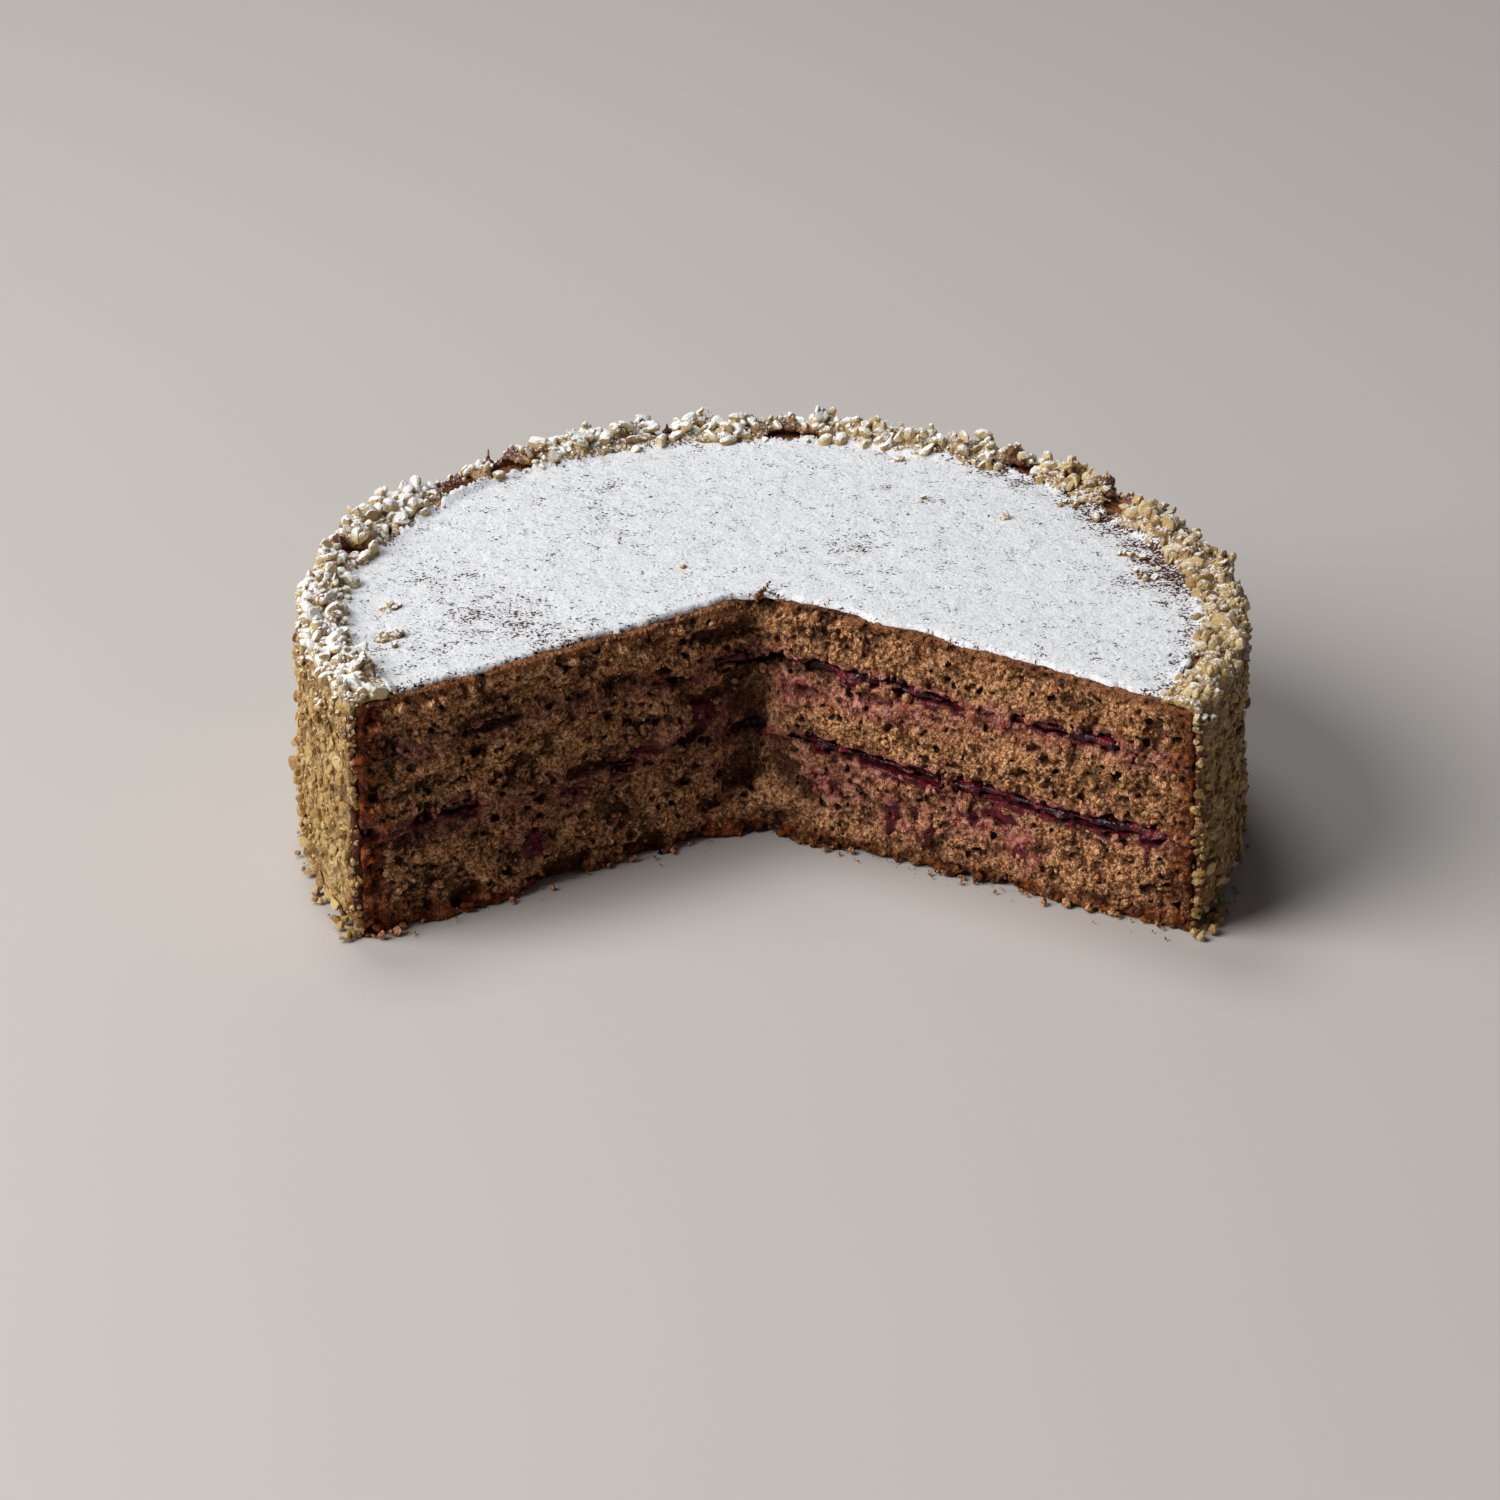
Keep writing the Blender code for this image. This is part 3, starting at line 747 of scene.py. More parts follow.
def strew_side(name, surface, amount, shapes, material, rng):
    """Nuts over the round side, each laid on what is there."""
    count, sizes = amount
    angle = coat_angle(rng.uniform(0.002, 0.998, count))
    at_foot = rng.random(count) < FOOT_SHARE
    height = np.where(at_foot, rng.uniform(0.4, 4.0, count), rng.uniform(1.0, 69.5, count))
    size = draw_sizes(sizes, count, 2.0, rng)
    outward = around(angle, 1.0, np.zeros(count))
    starts = outward * (COAT_RADIUS + BESIDE)
    starts[:, 2] = height
    seats, kept, landed = land(surface, starts, -outward, 22.0, size, 0.16)
    dusted = 0.7 * smoothstep(55.0, 69.0, seats[:, 2])
    # Painted shade on the nuts of the right side
    marks = {"lip": dusted, "moist": smoothstep(*SIDE_SHADE_SPAN, seats[:, 0])}
    return strew(name, "nuts", seats, kept, shapes, material, rng, marks, outward[landed])


def strew_ends(surface, shapes, material, rng):
    """Nuts that stand in profile on the coat's two cut ends."""
    count, sizes = END_NUTS
    starts, ways = cut_starts(count, 8.0, (1.0, 70.0), (COAT_RADIUS - 1.6, COAT_RADIUS + 0.9), rng)
    seats, sizes, _ = land(surface, starts, ways, 20.0, draw_sizes(sizes, count, 2.0, rng), 0.0)
    dusted = 0.6 * smoothstep(60.0, 69.0, seats[:, 2])
    return strew("nuts_cut_ends", "nuts", seats, sizes, shapes, material, rng, {"lip": dusted})


def strew_rim(name, surface, amount, shapes, material, rng, clumped=0.0):
    """Nuts heaped along the lip, some on top of others, with bare gaps where crust shows."""
    count, sizes = amount
    angle = coat_angle(rng.uniform(0.001, 0.999, count))
    radius = RIM_INNER + (RIM_OUTER - RIM_INNER) * rng.beta(1.9, 1.2, count)
    place = around(angle, radius, np.full(count, RIM_DROP_HEIGHT))
    heap = 0.5 + 0.5 * wave(place, (10.0, 10.0, 400.0), 133)
    chance = 1.0 - clumped + clumped * smoothstep(0.45, 0.75, heap)
    chance *= 1.0 - 0.93 * rim_bareness(place)
    place = place[rng.random(count) < chance]
    seats, sizes, _ = land(surface, place, DOWN, 60.0, draw_sizes(sizes, len(place), 2.0, rng), 0.14)
    low = seats[:, 2] + 0.5 * sizes < RIM_TOP
    seats, sizes = seats[low], sizes[low]
    dusted = 1.05 + 0.5 * wave(seats, (17.0, 17.0, 90.0), 135) - 1.15 * smoothstep(35.0, 110.0, seats[:, 0])
    # Painted shade on the rim's nuts at the right side
    marks = {"lip": np.clip(dusted, 0.15, 1.5), "moist": RIM_SIDE_SHADE * smoothstep(*SIDE_SHADE_SPAN, seats[:, 0])}
    return strew(name, "nuts", seats, sizes, shapes, material, rng, marks)


def strew_on_sugar(surface, shapes, material, rng):
    """A few nut bits that have fallen from the rim onto the sugar."""
    starts, sizes = [], []
    for x, y, count, spread in SUGAR_BITS:
        for _ in range(count):
            away = BIT_SPREAD * spread
            starts.append((x + rng.normal() * away, y + rng.normal() * away, SUGAR_DROP_HEIGHT))
            sizes.append(rng.uniform(*SUGAR_BIT_SIZES))
    hits = drop_on(surface, starts, DOWN, 40.0)
    seats = np.array([point + (0.0, 0.0, 0.2 * sizes[index]) for index, point, _ in hits])
    kept = np.array([sizes[index] for index, _, _ in hits])
    return strew("nuts_on_sugar", "nuts", seats, kept, shapes, material, rng, {"lip": 0.6})


def cut_starts(count, outside, heights, radii, rng):
    """Random places in front of the two cuts, and the ways from them into the cake."""
    left = rng.random(count) < 0.5
    z = rng.uniform(*heights, count)
    radius = rng.uniform(*radii, count)
    starts, ways = np.empty((count, 3)), np.empty((count, 3))
    for cut, turn, picked in ((LEFT_CUT, 1.0, left), (RIGHT_CUT, -1.0, ~left)):
        apex, drawn = knife(cut, z)
        outward = np.stack([-drawn[:, 1], drawn[:, 0]], axis=1) * turn
        place = apex + drawn * cut_length(cut, radius, z)[:, None] + outward * outside
        starts[picked] = np.column_stack([place, z])[picked]
        ways[picked] = np.column_stack([-outward, np.zeros(count)])[picked]
    return starts, ways


def strew_in_cuts(surface, shapes, material, rng):
    """Yellow and brown nut bits bedded in the crumb."""
    count, sizes = CUT_BITS
    starts, ways = cut_starts(count, IN_FRONT, (3.0, 65.0), (14.0, 125.0), rng)
    seats, sizes, _ = land(surface, starts, ways, 18.0, draw_sizes(sizes, count, 2.6, rng), -0.12)
    return strew("nuts_in_crumb", "nuts", seats, sizes, shapes, material, rng, {"lip": 0.0})


def strew_cut_crumbs(surface, shapes, material, rng):
    """Crumbs that cling to the torn cuts."""
    count, sizes = CUT_CRUMBS
    starts, ways = cut_starts(count, IN_FRONT, (0.5, 67.6), (9.0, 126.5), rng)
    seats, sizes, _ = land(surface, starts, ways, 18.0, draw_sizes(sizes, count, 2.2, rng), 0.1)
    found = crumb_marks(seats)
    marks = {mark: found[mark] for mark in ("stain", "crust", "top", "left")}
    return strew("crumbs_cut", "sponge", seats, sizes, shapes, material, rng, marks)


def strew_edge_crumbs(shapes, material, rng):
    """Crumbs along the top edges of the cuts, and the crust's pointed flap at their tip."""
    count, sizes = EDGE_CRUMBS
    starts, ways = cut_starts(count, 0.0, (67.4, 68.2), (12.0, 125.0), rng)
    seats = starts + ways * rng.uniform(-0.2, 2.4, count)[:, None]
    size = draw_sizes(sizes, count, 2.4, rng)
    flap = np.array(TIP_FLAP)
    seats, size = np.concatenate([seats, flap[:, :3]]), np.concatenate([size, flap[:, 3]])
    return strew("crumbs_edge", "sponge", seats, size, shapes, material, rng, {"top": 0.7})


def strew_foot_crumbs(shapes, material, rng):
    """Crumbs on the floor along the foot of the two cuts."""
    count, sizes = FOOT_CRUMBS
    starts, ways = cut_starts(count, 0.0, (0.0, 0.1), (14.0, 126.0), rng)
    far = 0.6 + 7.0 * rng.random(count) ** 3.4
    seats = starts - ways * far[:, None]
    size = draw_sizes(sizes, count, 3.0, rng)
    size *= np.clip(1.6 - far / 6.0, 0.35, 1.0)
    seats[:, 2] = 0.30 * size
    inside = seats[:, 1] > -97.5
    return strew("crumbs_foot", "sponge", seats[inside], size[inside], shapes, material, rng)


def strew_foot_nuts(shapes, material, rng):
    """Nut pieces that lie at the foot of the round side, most of them near the two corners."""
    count, sizes = FOOT_NUTS
    share = np.where(rng.random(count) < 0.5, rng.beta(0.5, 4.0, count), rng.beta(4.0, 0.5, count))
    angle = coat_angle(0.002 + 0.996 * share)
    size = draw_sizes(sizes, count, 2.0, rng)
    radius = COAT_RADIUS - 0.5 + 4.2 * rng.random(count) ** 1.5
    seats = around(angle, radius, 0.32 * size)
    return strew("nuts_foot", "nuts", seats, size, shapes, material, rng, {"lip": 0.0})


def rim_bareness(points):
    """Where the rim has lost its nuts and shows crust, from 0 to 1."""
    bare = smoothstep(0.58, 0.75, wave(points, (11.0, 11.0, 400.0), 131))
    for x, y, width in BARE_RIM:
        bare = np.maximum(bare, blot(points, x, y, width))
    corner = smoothstep(-16.0, -8.0, from_cuts(points)[1])
    return bare * (1.0 - corner)


# Sugar


def sugar_outline():
    """The sugar's edge in plan, from its node's upper corners, drawn out over the lip's inner slope."""
    points = mesh_arrays(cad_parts["icing_sugar"])[0]
    top = points[points[:, 2] > points[:, 2].max() - 0.2][:, :2]
    away = top - np.array(SUGAR_MIDDLE)
    ring = top[np.argsort(np.arctan2(away[:, 1], away[:, 0]))]
    steps = []
    for here, there in zip(ring, np.roll(ring, -1, axis=0)):
        cuts = max(1, int(round(np.linalg.norm(there - here) / SUGAR_STEP)))
        steps += [here + (there - here) * i / cuts for i in range(cuts)]
    edge = np.array(steps)
    place = np.column_stack([edge, np.full(len(edge), HEIGHT)])
    radius = plan_radius(edge)
    along, out, is_left = from_cuts(place)
    back = SUGAR_BACK + wave(place, (4.0, 4.0, 50.0), 152)
    back *= smoothstep(-4.5, -2.5, out) * smoothstep(2.0, 8.0, along)
    for left in (True, False):
        drawn = knife(LEFT_CUT if left else RIGHT_CUT, HEIGHT)[1]
        inward = np.array((drawn[1], -drawn[0])) * (1.0 if left else -1.0)
        edge = edge + (back * (is_left == left))[:, None] * inward
    lapped = SUGAR_LAP * (1.0 + 0.7 * wave(place, (4.0, 4.0, 50.0), 149))
    lapped *= smoothstep(-6.0, -2.5, radius - lip_inner_radius(np.arctan2(edge[:, 1], edge[:, 0])))
    return edge * (1.0 + lapped / radius)[:, None]


def past_lip(points):
    """How far a point has come over the lip's inner slope, from 0 to 1 at its shoulder."""
    angle = np.arctan2(points[:, 1], points[:, 0])
    return smoothstep(-1.2, 3.0, plan_radius(points) - lip_inner_radius(angle))


def sugar_cover(points):
    """How thickly the sugar lies, from 0 where crust shows to 1."""
    radius = plan_radius(points)
    angle = np.arctan2(points[:, 1], points[:, 0])
    edge = lip_inner_radius(angle) - 1.2 - radius
    faded = smoothstep(SUGAR_FADE, 0.0, edge + 3.0 * wave(points, (9.0, 9.0, 90.0), 141))
    cover = 1.0 - faded * (0.14 + 0.34 * smoothstep(20.0, 90.0, points[:, 0]))
    for x, y, width, loss in THIN_SUGAR:
        cover -= 2.2 * loss * blot(points, x, y, width)
    cover -= 0.30 * smoothstep(5.0, 1.0, -from_cuts(points)[1] + 1.2 * wave(points, (4.0, 4.0, 50.0), 153))
    cover += 0.12 * wave(points, (16.0, 16.0, 90.0), 143) + 0.08 * wave(points, (5.0, 5.0, 90.0), 144)
    return np.clip(cover, 0.0, 1.0)


def make_sugar(material):
    """A powdery sheet with an uneven top, its edge just inside the crust's edge along the cuts."""
    ring = sugar_outline()
    low, high = ring.min(axis=0), ring.max(axis=0)
    xs, ys = np.arange(low[0], high[0], SUGAR_STEP), np.arange(low[1], high[1], SUGAR_STEP)
    rng = np.random.default_rng(151)
    grid = np.stack(np.meshgrid(xs, ys), axis=-1).reshape(-1, 2)
    grid += rng.uniform(-0.3, 0.3, grid.shape) * SUGAR_STEP
    flat = np.column_stack([grid, np.full(len(grid), HEIGHT)])
    inside = (from_cuts(flat)[1] < -0.2) & (plan_radius(grid) < LIP_INNER_RADIUS + 3 * LIP_WAVE)
    grid = grid[inside]
    every = np.concatenate([ring, grid])
    edges = [(i, (i + 1) % len(ring)) for i in range(len(ring))]
    found, _, faces, *_ = delaunay_2d_cdt([Vector(p) for p in every], edges, [], 1, 1e-5)
    plan = np.array([p[:] for p in found])
    triangles = np.array([face[:] for face in faces])
    a, b, c = (plan[triangles[:, corner]] for corner in range(3))
    turned = np.cross(b - a, c - a) < 0
    triangles[turned] = triangles[turned][:, ::-1]
    used = np.unique(triangles)
    renumber = np.full(len(plan), -1)
    renumber[used] = np.arange(len(used))
    plan, triangles = plan[used], renumber[triangles]
    sides = np.concatenate([triangles[:, pair] for pair in ([0, 1], [1, 2], [2, 0])])
    sides = np.sort(sides, axis=1)
    pairs, counts = np.unique(sides, axis=0, return_counts=True)
    rim_sides = set(map(tuple, pairs[counts == 1].tolist()))
    walls = [
        (a, b)
        for face in triangles.tolist()
        for a, b in ((face[0], face[1]), (face[1], face[2]), (face[2], face[0]))
        if (min(a, b), max(a, b)) in rim_sides
    ]
    at_rim = np.zeros(len(plan), bool)
    at_rim[np.array(walls).ravel()] = True
    place = np.column_stack([plan, np.full(len(plan), HEIGHT)])
    cover = sugar_cover(place)
    powder = 0.20 * wave(place, (2.1, 2.1, 50.0), 145) + 0.16 * wave(place, (4.6, 4.6, 50.0), 146)
    powder += 0.25 * wave(place, (22.0, 22.0, 90.0), 147)
    into_cake = -from_cuts(place)[1]
    edge = smoothstep(0.4, 3.0, into_cake + 0.8 * wave(place, (3.0, 3.0, 50.0), 148))
    top = SUGAR_FOOT + (SUGAR_TOP - SUGAR_FOOT + powder - 0.35 * (1.0 - cover)) * (0.25 + 0.75 * edge)
    place[:, 2] = np.where(at_rim, SUGAR_FOOT - SUGAR_SUNK, np.maximum(top, SUGAR_FOOT + 0.12))
    place[:, 2] += SUGAR_LAP_RISE * past_lip(place)
    rim_index = np.unique(np.array(walls).ravel())
    below = np.full(len(plan), -1)
    below[rim_index] = len(plan) + np.arange(len(rim_index))
    foot = place[rim_index].copy()
    foot[:, 2] -= 0.1
    skirt = [(a, below[a], below[b], b) for a, b in walls]
    points = np.concatenate([place, foot])
    marks = {"cover": np.concatenate([cover, cover[rim_index]])}
    piece = new_piece("sugar_dust", points, skirt, triangles, marks, material=material)
    return settle(piece, "sugar", "icing_sugar")


# Finishes


class Finish:
    """A material's nodes, joined by short calls. Sizes are in millimetres."""

    def __init__(self, name, roughness=0.7, specular=0.4):
        self.material = bpy.data.materials.new(name)
        self.material.use_nodes = True
        self.tree = self.material.node_tree
        self.shader = self.tree.nodes["Principled BSDF"]
        self.shader.inputs["Roughness"].default_value = roughness
        self.shader.inputs["Specular IOR Level"].default_value = specular
        self.place = self.tree.nodes.new("ShaderNodeTexCoord").outputs["Object"]

    def join(self, value, socket):
        if isinstance(value, bpy.types.NodeSocket):
            self.tree.links.new(value, socket)
        elif isinstance(value, tuple) and len(value) == 3 and len(socket.default_value) == 4:
            socket.default_value = (*value, 1.0)
        else:
            socket.default_value = value

    def noise(self, size, detail=2.0, roughness=0.55):
        node = self.tree.nodes.new("ShaderNodeTexNoise")
        self.join(self.place, node.inputs["Vector"])
        node.inputs["Scale"].default_value = 1000.0 / size
        node.inputs["Detail"].default_value = detail
        node.inputs["Roughness"].default_value = roughness
        return node.outputs["Fac"]

    def cells(self, size, output="Distance"):
        node = self.tree.nodes.new("ShaderNodeTexVoronoi")
        self.join(self.place, node.inputs["Vector"])
        node.inputs["Scale"].default_value = 1000.0 / size
        return node.outputs[output]

    def mark(self, name):
        node = self.tree.nodes.new("ShaderNodeAttribute")
        node.attribute_name = name
        return node.outputs["Fac"]

    def math(self, operation, first, second):
        node = self.tree.nodes.new("ShaderNodeMath")
        node.operation = operation
        for value, socket in zip((first, second), node.inputs):
            self.join(value, socket)
        return node.outputs[0]

    def plus(self, first, second):
        return self.math("ADD", first, second)

    def times(self, first, second):
        return self.math("MULTIPLY", first, second)

    def span(self, value, low, high, to_low=0.0, to_high=1.0):
        """Takes low to to_low and high to to_high, smoothly, and holds there."""
        node = self.tree.nodes.new("ShaderNodeMapRange")
        node.interpolation_type = "SMOOTHSTEP"
        for found, socket in zip((value, low, high, to_low, to_high), node.inputs):
            self.join(found, socket)
        return node.outputs[0]

    def ramp(self, value, *stops):
        node = self.tree.nodes.new("ShaderNodeValToRGB")
        elements = node.color_ramp.elements
        while len(elements) < len(stops):
            elements.new(0.5)
        for element, (position, color) in zip(elements, stops):
            element.position = position
            element.color = (*color, 1.0)
        self.join(value, node.inputs[0])
        return node.outputs[0]

    def mix(self, share, first, second):
        node = self.tree.nodes.new("ShaderNodeMix")
        node.data_type = "RGBA"
        sockets = [socket for socket in node.inputs if socket.enabled]
        for value, socket in zip((share, first, second), sockets):
            self.join(value, socket)
        return next(socket for socket in node.outputs if socket.enabled)

    def bump(self, height, depth, normal=None):
        node = self.tree.nodes.new("ShaderNodeBump")
        node.inputs["Distance"].default_value = depth / 1000.0
        node.inputs["Strength"].default_value = 1.0
        self.join(height, node.inputs["Height"])
        if normal is not None:
            self.join(normal, node.inputs["Normal"])
        return node.outputs[0]

    def upward(self):
        node = self.tree.nodes.new("ShaderNodeSeparateXYZ")
        self.join(self.tree.nodes.new("ShaderNodeNewGeometry").outputs["Normal"], node.inputs[0])
        return node.outputs["Z"]

    def finish(self, color, normal=None, roughness=None):
        self.join(color, self.shader.inputs["Base Color"])
        if normal is not None:
            self.join(normal, self.shader.inputs["Normal"])
        if roughness is not None:
            self.join(roughness, self.shader.inputs["Roughness"])
        return self.material


def crumb_finish():
    f = Finish("sponge_crumb", roughness=0.8, specular=0.15)
    speck = f.times(f.cells(0.95, "Color"), 0.34)
    mottle = f.plus(f.times(f.noise(3.6, 3), 0.42), f.times(f.noise(1.2, 2), 0.24))
    mottle = f.plus(mottle, speck)
    color = f.ramp(mottle, (0.30, CRUMB_DARK), (0.46, CRUMB_MEAN), (0.62, CRUMB_LIGHT), (0.76, CRUMB_PALE_AND_HIGHLIGHT))
    granule = f.plus(f.times(f.cells(1.2), 0.6), f.times(f.cells(0.6), 0.4))
    granule = f.plus(granule, f.times(f.noise(1.6, 3), 0.3))
    # Painted highlight on the grains' raised tips, and painted shade in the gaps between them
    color = f.mix(f.times(f.span(granule, 0.62, 0.48), 0.6), color, CRUMB_PALE_AND_HIGHLIGHT)
    color = f.mix(f.times(f.span(granule, 0.76, 0.92), 0.8), color, CRUMB_PIT_SHADE)
    bran = f.span(f.noise(2.2, 1), 0.62, 0.68)
    color = f.mix(f.times(bran, 0.7), color, CRUMB_BRAN)
    color = f.mix(f.times(f.span(f.noise(14.0, 2), 0.5, 0.75), 0.3), color, CRUMB_DARK)
    stain = f.times(f.mark("stain"), f.span(f.noise(4.0, 3), 0.3, 0.6, 0.35, 1.0))
    pinks = f.ramp(f.noise(2.4, 3), (0.36, JAM_CRIMSON), (0.5, JAM_ROSE), (0.64, JAM_PINK))
    pinks = f.mix(f.times(f.mark("left"), 0.72), pinks, JAM_DEEP)
    color = f.mix(f.times(stain, 0.95), color, pinks)
    crust = f.times(f.mark("crust"), f.span(f.noise(5.0, 2), 0.25, 0.6, 0.55, 1.0))
    baked = f.ramp(f.noise(2.2, 3), (0.46, CRUST_DARK), (0.66, CRUST_WARM))
    seared = f.ramp(f.noise(2.2, 3), (0.42, CRUST_DARK), (0.58, CRUST_RED), (0.7, CRUST_EMBER))
    color = f.mix(crust, color, f.mix(f.mark("left"), baked, seared))
    on_top = f.ramp(f.noise(1.6, 3), (0.36, CRUMB_DARK), (0.6, CRUST_TOP))
    color = f.mix(f.times(f.mark("top"), 0.85), color, on_top)
    # Painted shade in the pits, hollows and torn places
    color = f.mix(f.times(f.mark("deep"), 0.85), color, CRUMB_PIT_SHADE)
    wet = f.mark("wet")
    color = f.mix(wet, color, f.ramp(f.noise(1.8, 4), (0.42, JAM_DARK), (0.68, JAM_CRIMSON)))
    dry = f.math("SUBTRACT", 1.0, f.times(wet, 0.85))
    normal = f.bump(f.times(granule, dry), -1.1)
    return f.finish(color, normal, f.span(wet, 0.2, 0.8, 0.8, 0.2))


def jam_finish():
    f = Finish("berry_jam", roughness=0.2, specular=0.3)
    color = f.ramp(f.noise(5.0, 3), (0.35, JAM_BLACK), (0.5, JAM_DARK), (0.64, JAM_CRIMSON))
    normal = f.bump(f.noise(2.6, 2), 1.4)
    roughness = f.span(f.noise(2.5, 2), 0.35, 0.7, 0.12, 0.42)
    return f.finish(color, f.bump(f.noise(1.0, 2), 0.3, normal), roughness)


def coat_finish():
    f = Finish("nut_coat", specular=0.4)
    tone = f.plus(f.times(f.mark("tone"), 0.55), f.times(f.noise(1.6, 3), 0.45))
    nuts = f.ramp(tone, (0.2, NUT_SHADE), (0.42, NUT_GOLD), (0.62, NUT_PALE), (0.85, NUT_CREAM))
    specks = f.span(f.noise(1.0, 1), 0.66, 0.72)
    nuts = f.mix(f.times(specks, 0.8), nuts, NUT_SKIN_AND_GAP_SHADE)
    # Painted shade in the recessed gaps between the coat's grains
    gap = f.times(f.span(f.mark("gap"), 0.5, 0.78), 0.85)
    nuts = f.mix(gap, nuts, NUT_SKIN_AND_GAP_SHADE)
    crust = f.ramp(f.noise(2.6, 3), (0.34, CRUST_DARK), (0.56, RIM_RED), (0.78, CRUST_WARM))
    # Painted shade on the right side's nuts
    nuts = f.mix(f.times(f.mark("moist"), 0.25), nuts, NUT_SIDE_SHADE)
    bare = f.math("MAXIMUM", f.mark("bare"), f.mark("cut_end"))
    color = f.mix(bare, nuts, crust)
    color = f.mix(f.times(f.mark("foot"), 0.35), color, CRUST_WARM)
    dust = f.times(f.mark("lip"), f.span(f.upward(), 0.2, 0.8))
    held = f.plus(f.noise(0.9, 3, 0.65), f.times(f.mark("bare"), -0.09))
    dust = f.times(dust, f.span(held, 0.50, 0.56))
    color = f.mix(dust, color, SUGAR_WHITE)
    normal = f.bump(f.cells(1.3), -0.8)
    return f.finish(color, f.bump(f.noise(0.8, 3), 0.5, normal), f.span(f.mark("lip"), 0.0, 1.0, 0.62, 0.5))


def nut_finish(name, darkest, dark, pale, palest):
    f = Finish(name, roughness=0.5, specular=0.4)
    tone = f.plus(f.times(f.mark("tone"), 0.62), f.times(f.noise(1.1, 3, 0.65), 0.38))
    color = f.ramp(tone, (0.14, darkest), (0.35, dark), (0.6, pale), (0.82, palest))
    color = f.mix(f.times(f.span(f.noise(1.2, 2), 0.62, 0.7), 0.6), color, NUT_SKIN_AND_GAP_SHADE)
    # Painted shade on the right side's nuts
    color = f.mix(f.times(f.mark("moist"), 0.2), color, NUT_SIDE_SHADE)
    powder = f.plus(f.times(f.upward(), 0.62), f.times(f.noise(0.65, 4, 0.75), 1.2))
    powder = f.plus(powder, f.times(f.mark("lip"), 0.33))
    dust = f.times(f.span(powder, 1.14, 1.23), f.span(f.mark("lip"), 0.0, 0.1))
    color = f.mix(dust, color, SUGAR_ON_NUTS)
    f.shader.inputs["Subsurface Weight"].default_value = 0.12
    f.shader.inputs["Subsurface Scale"].default_value = 0.002
    grit = f.plus(f.noise(0.8, 3, 0.65), f.times(dust, 0.25))
    return f.finish(color, f.bump(grit, 0.5), f.span(dust, 0.0, 1.0, 0.42, 0.85))


def sugar_finish():
    f = Finish("icing_sugar", roughness=0.9, specular=0.2)
    cover = f.mark("cover")
    clusters = f.times(f.noise(5.0, 2), 0.3)
    specks = f.plus(f.times(f.noise(1.0, 3, 0.7), 0.7), clusters)
    limit = f.span(cover, 0.1, 1.0, 0.44, 0.60)
    above = f.math("SUBTRACT", specks, limit)
    shown = f.span(above, -0.002, 0.018)
    under = f.ramp(f.noise(3.0, 2), (0.4, CRUST_DARK), (0.6, SPECK_BROWN))
    white = f.ramp(f.cells(0.8, "Color"), (0.05, SUGAR_SHADE), (0.45, SUGAR_WHITE))
    color = f.mix(shown, white, under)
    heaps = f.math("SUBTRACT", f.times(f.noise(1.5, 4, 0.7), 0.8), f.times(shown, 0.45))
    return f.finish(color, f.bump(heaps, 0.7))


# The room and the camera


def area_light(name, place, aim, size, power, color):
    lamp = bpy.data.lights.new(name, "AREA")
    lamp.shape = "DISK"
    lamp.size = size
    lamp.energy = power
    lamp.color = color
    light = bpy.data.objects.new(name, lamp)
    light.location = place
    light.rotation_euler = (Vector(aim) - Vector(place)).to_track_quat("-Z", "Y").to_euler()
    bpy.context.scene.collection.objects.link(light)
    return light


def make_room():
    world = bpy.data.worlds.new("studio")
    world.use_nodes = True
    world.node_tree.nodes["Background"].inputs["Color"].default_value = (*AIR_COLOR, 1.0)
    world.node_tree.nodes["Background"].inputs["Strength"].default_value = AIR_STRENGTH
    bpy.context.scene.world = world
    floor_mesh = bpy.data.meshes.new("floor")
    half = FLOOR_SIZE / 2
    corners = [(-half, -half, 0), (half, -half, 0), (half, half, 0), (-half, half, 0)]
    floor_mesh.from_pydata(corners, [], [(0, 1, 2, 3)])
    floor = bpy.data.objects.new("floor", floor_mesh)
    floor.location.z = -FLOOR_DROP
    bpy.context.scene.collection.objects.link(floor)
    f = Finish("floor", roughness=0.6, specular=0.3)
    f.finish(f.mix(f.noise(220.0, 2), FLOOR_COLOR, tuple(0.97 * c for c in FLOOR_COLOR)))
    floor_mesh.materials.append(f.material)
    middle = (0.0, AXIS_Y / 1000.0, 0.03)
    for name, place, size, power, color in LIGHTS:
        area_light(name, place, middle, size, power, color)


def make_camera():
    """The photograph's view, on the plane x = 0, turned so that the cake's axis falls on its pixel."""
    data = bpy.data.cameras.new("camera")
    data.sensor_width = SENSOR_MM
    data.lens = FOCAL_PIXELS / FRAME_PIXELS * SENSOR_MM
    data.clip_start = 0.05
    camera = bpy.data.objects.new("camera", data)
    side = math.atan2(AXIS_PIXEL[0] - FRAME_PIXELS / 2, FOCAL_PIXELS)
    pitch = VIEW_ELEVATION - math.atan2(AXIS_PIXEL[1] - FRAME_PIXELS / 2, FOCAL_PIXELS)
    ahead = Vector((0.0, math.cos(pitch), -math.sin(pitch)))
    right = Vector((1.0, 0.0, 0.0))
    up = right.cross(ahead)
    ahead, right = (
        math.cos(side) * ahead - math.sin(side) * right,
        math.cos(side) * right + math.sin(side) * ahead,
    )
    right, up = (
        math.cos(VIEW_ROLL) * right + math.sin(VIEW_ROLL) * up,
        math.cos(VIEW_ROLL) * up - math.sin(VIEW_ROLL) * right,
    )
    turn = Matrix((right, up, -ahead)).transposed().to_4x4()
    place = Vector((
        0.0,
        AXIS_Y / 1000.0 - VIEW_DISTANCE * math.cos(VIEW_ELEVATION),
        VIEW_DISTANCE * math.sin(VIEW_ELEVATION),
    ))
    camera.matrix_world = Matrix.Translation(place) @ turn
    bpy.context.scene.collection.objects.link(camera)
    bpy.context.scene.camera = camera


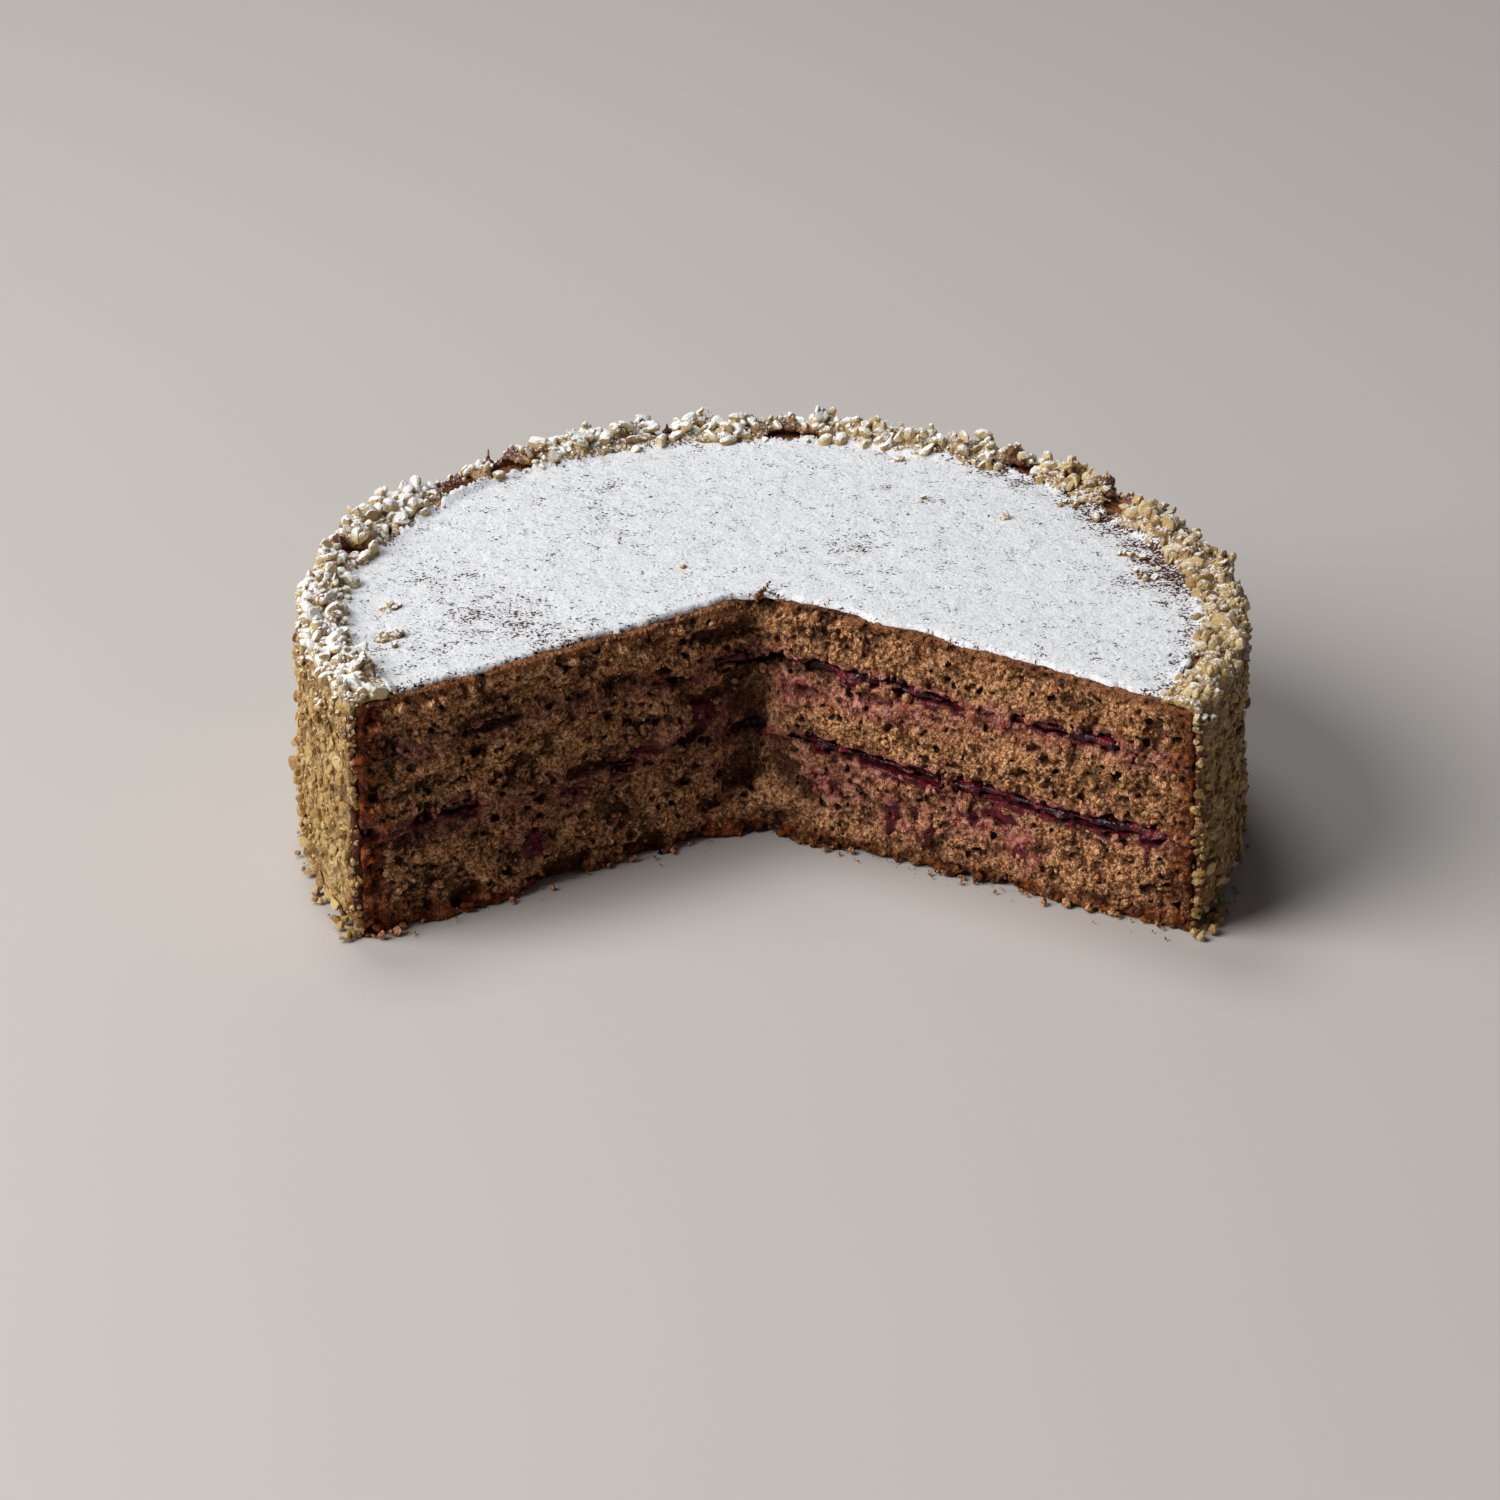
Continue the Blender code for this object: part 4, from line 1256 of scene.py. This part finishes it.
def main():
    crumb_material = crumb_finish()
    sponges = [
        dress("crumb_" + layer, "sponge", "sponge_" + layer, CRUMB_GRID, crumb, crumb_marks, crumb_material)
        for layer in ("bottom", "middle", "top")
    ]
    jam_material = jam_finish()
    for node in ("jam_lower", "jam_upper"):
        dress("wet_" + node, "jam", node, JAM_GRID, wet_jam, None, jam_material)
    coat = dress("nut_coat", "nuts", "nut_coating", COAT_GRID, nut_coat, coat_marks, coat_finish())
    sugar = make_sugar(sugar_finish())
    nuts = nut_finish("chopped_nuts", NUT_SHADE, NUT_GOLD, NUT_PALE, NUT_CREAM)
    rim_nuts = nut_finish("rim_nuts", NUT_GOLD, NUT_PALE, NUT_CREAM, NUT_WHITE)
    bits = nut_finish("nuts_in_crumb", NUT_SKIN_AND_GAP_SHADE, CRUMB_MEAN, NUT_GOLD, NUT_YELLOW)
    rng = np.random.default_rng(201)
    large = nut_shapes(24, 2, 5, rng)
    small = nut_shapes(24, 1, 2, rng)
    lumps = nut_shapes(16, 2, 0, rng)
    grit = nut_shapes(16, 1, 0, rng)
    round_nuts = nut_shapes(24, 2, 2, rng)
    side = surface_of([coat, *sponges])
    strew_side("nuts_side_fine", side, SIDE_FINE, small, nuts, rng)
    strew_side("nuts_side_small", side, SIDE_SMALL, small, nuts, rng)
    strew_side("nuts_side_large", side, SIDE_LARGE, large, nuts, rng)
    strew_ends(surface_of([coat]), large, nuts, rng)
    lip = surface_of([coat, sugar])
    strew_rim("nuts_rim_small", lip, RIM_SMALL, small, rim_nuts, rng)
    heap = strew_rim("nuts_rim_large", lip, RIM_LARGE, round_nuts, rim_nuts, rng)
    heaped = surface_of([coat, heap])
    strew_rim("nuts_rim_top", heaped, RIM_TOPS, round_nuts, rim_nuts, rng, clumped=0.9)
    strew_on_sugar(surface_of([sugar]), large, nuts, rng)
    strew_in_cuts(surface_of(sponges), small, bits, rng)
    strew_cut_crumbs(surface_of(sponges), lumps, crumb_material, rng)
    strew_edge_crumbs(grit, crumb_material, rng)
    strew_foot_crumbs(grit, crumb_material, rng)
    strew_foot_nuts(small, nuts, rng)
    make_room()
    make_camera()
    scene = bpy.context.scene
    scene.view_settings.view_transform = "Standard"
    scene.view_settings.look = "None"


main()
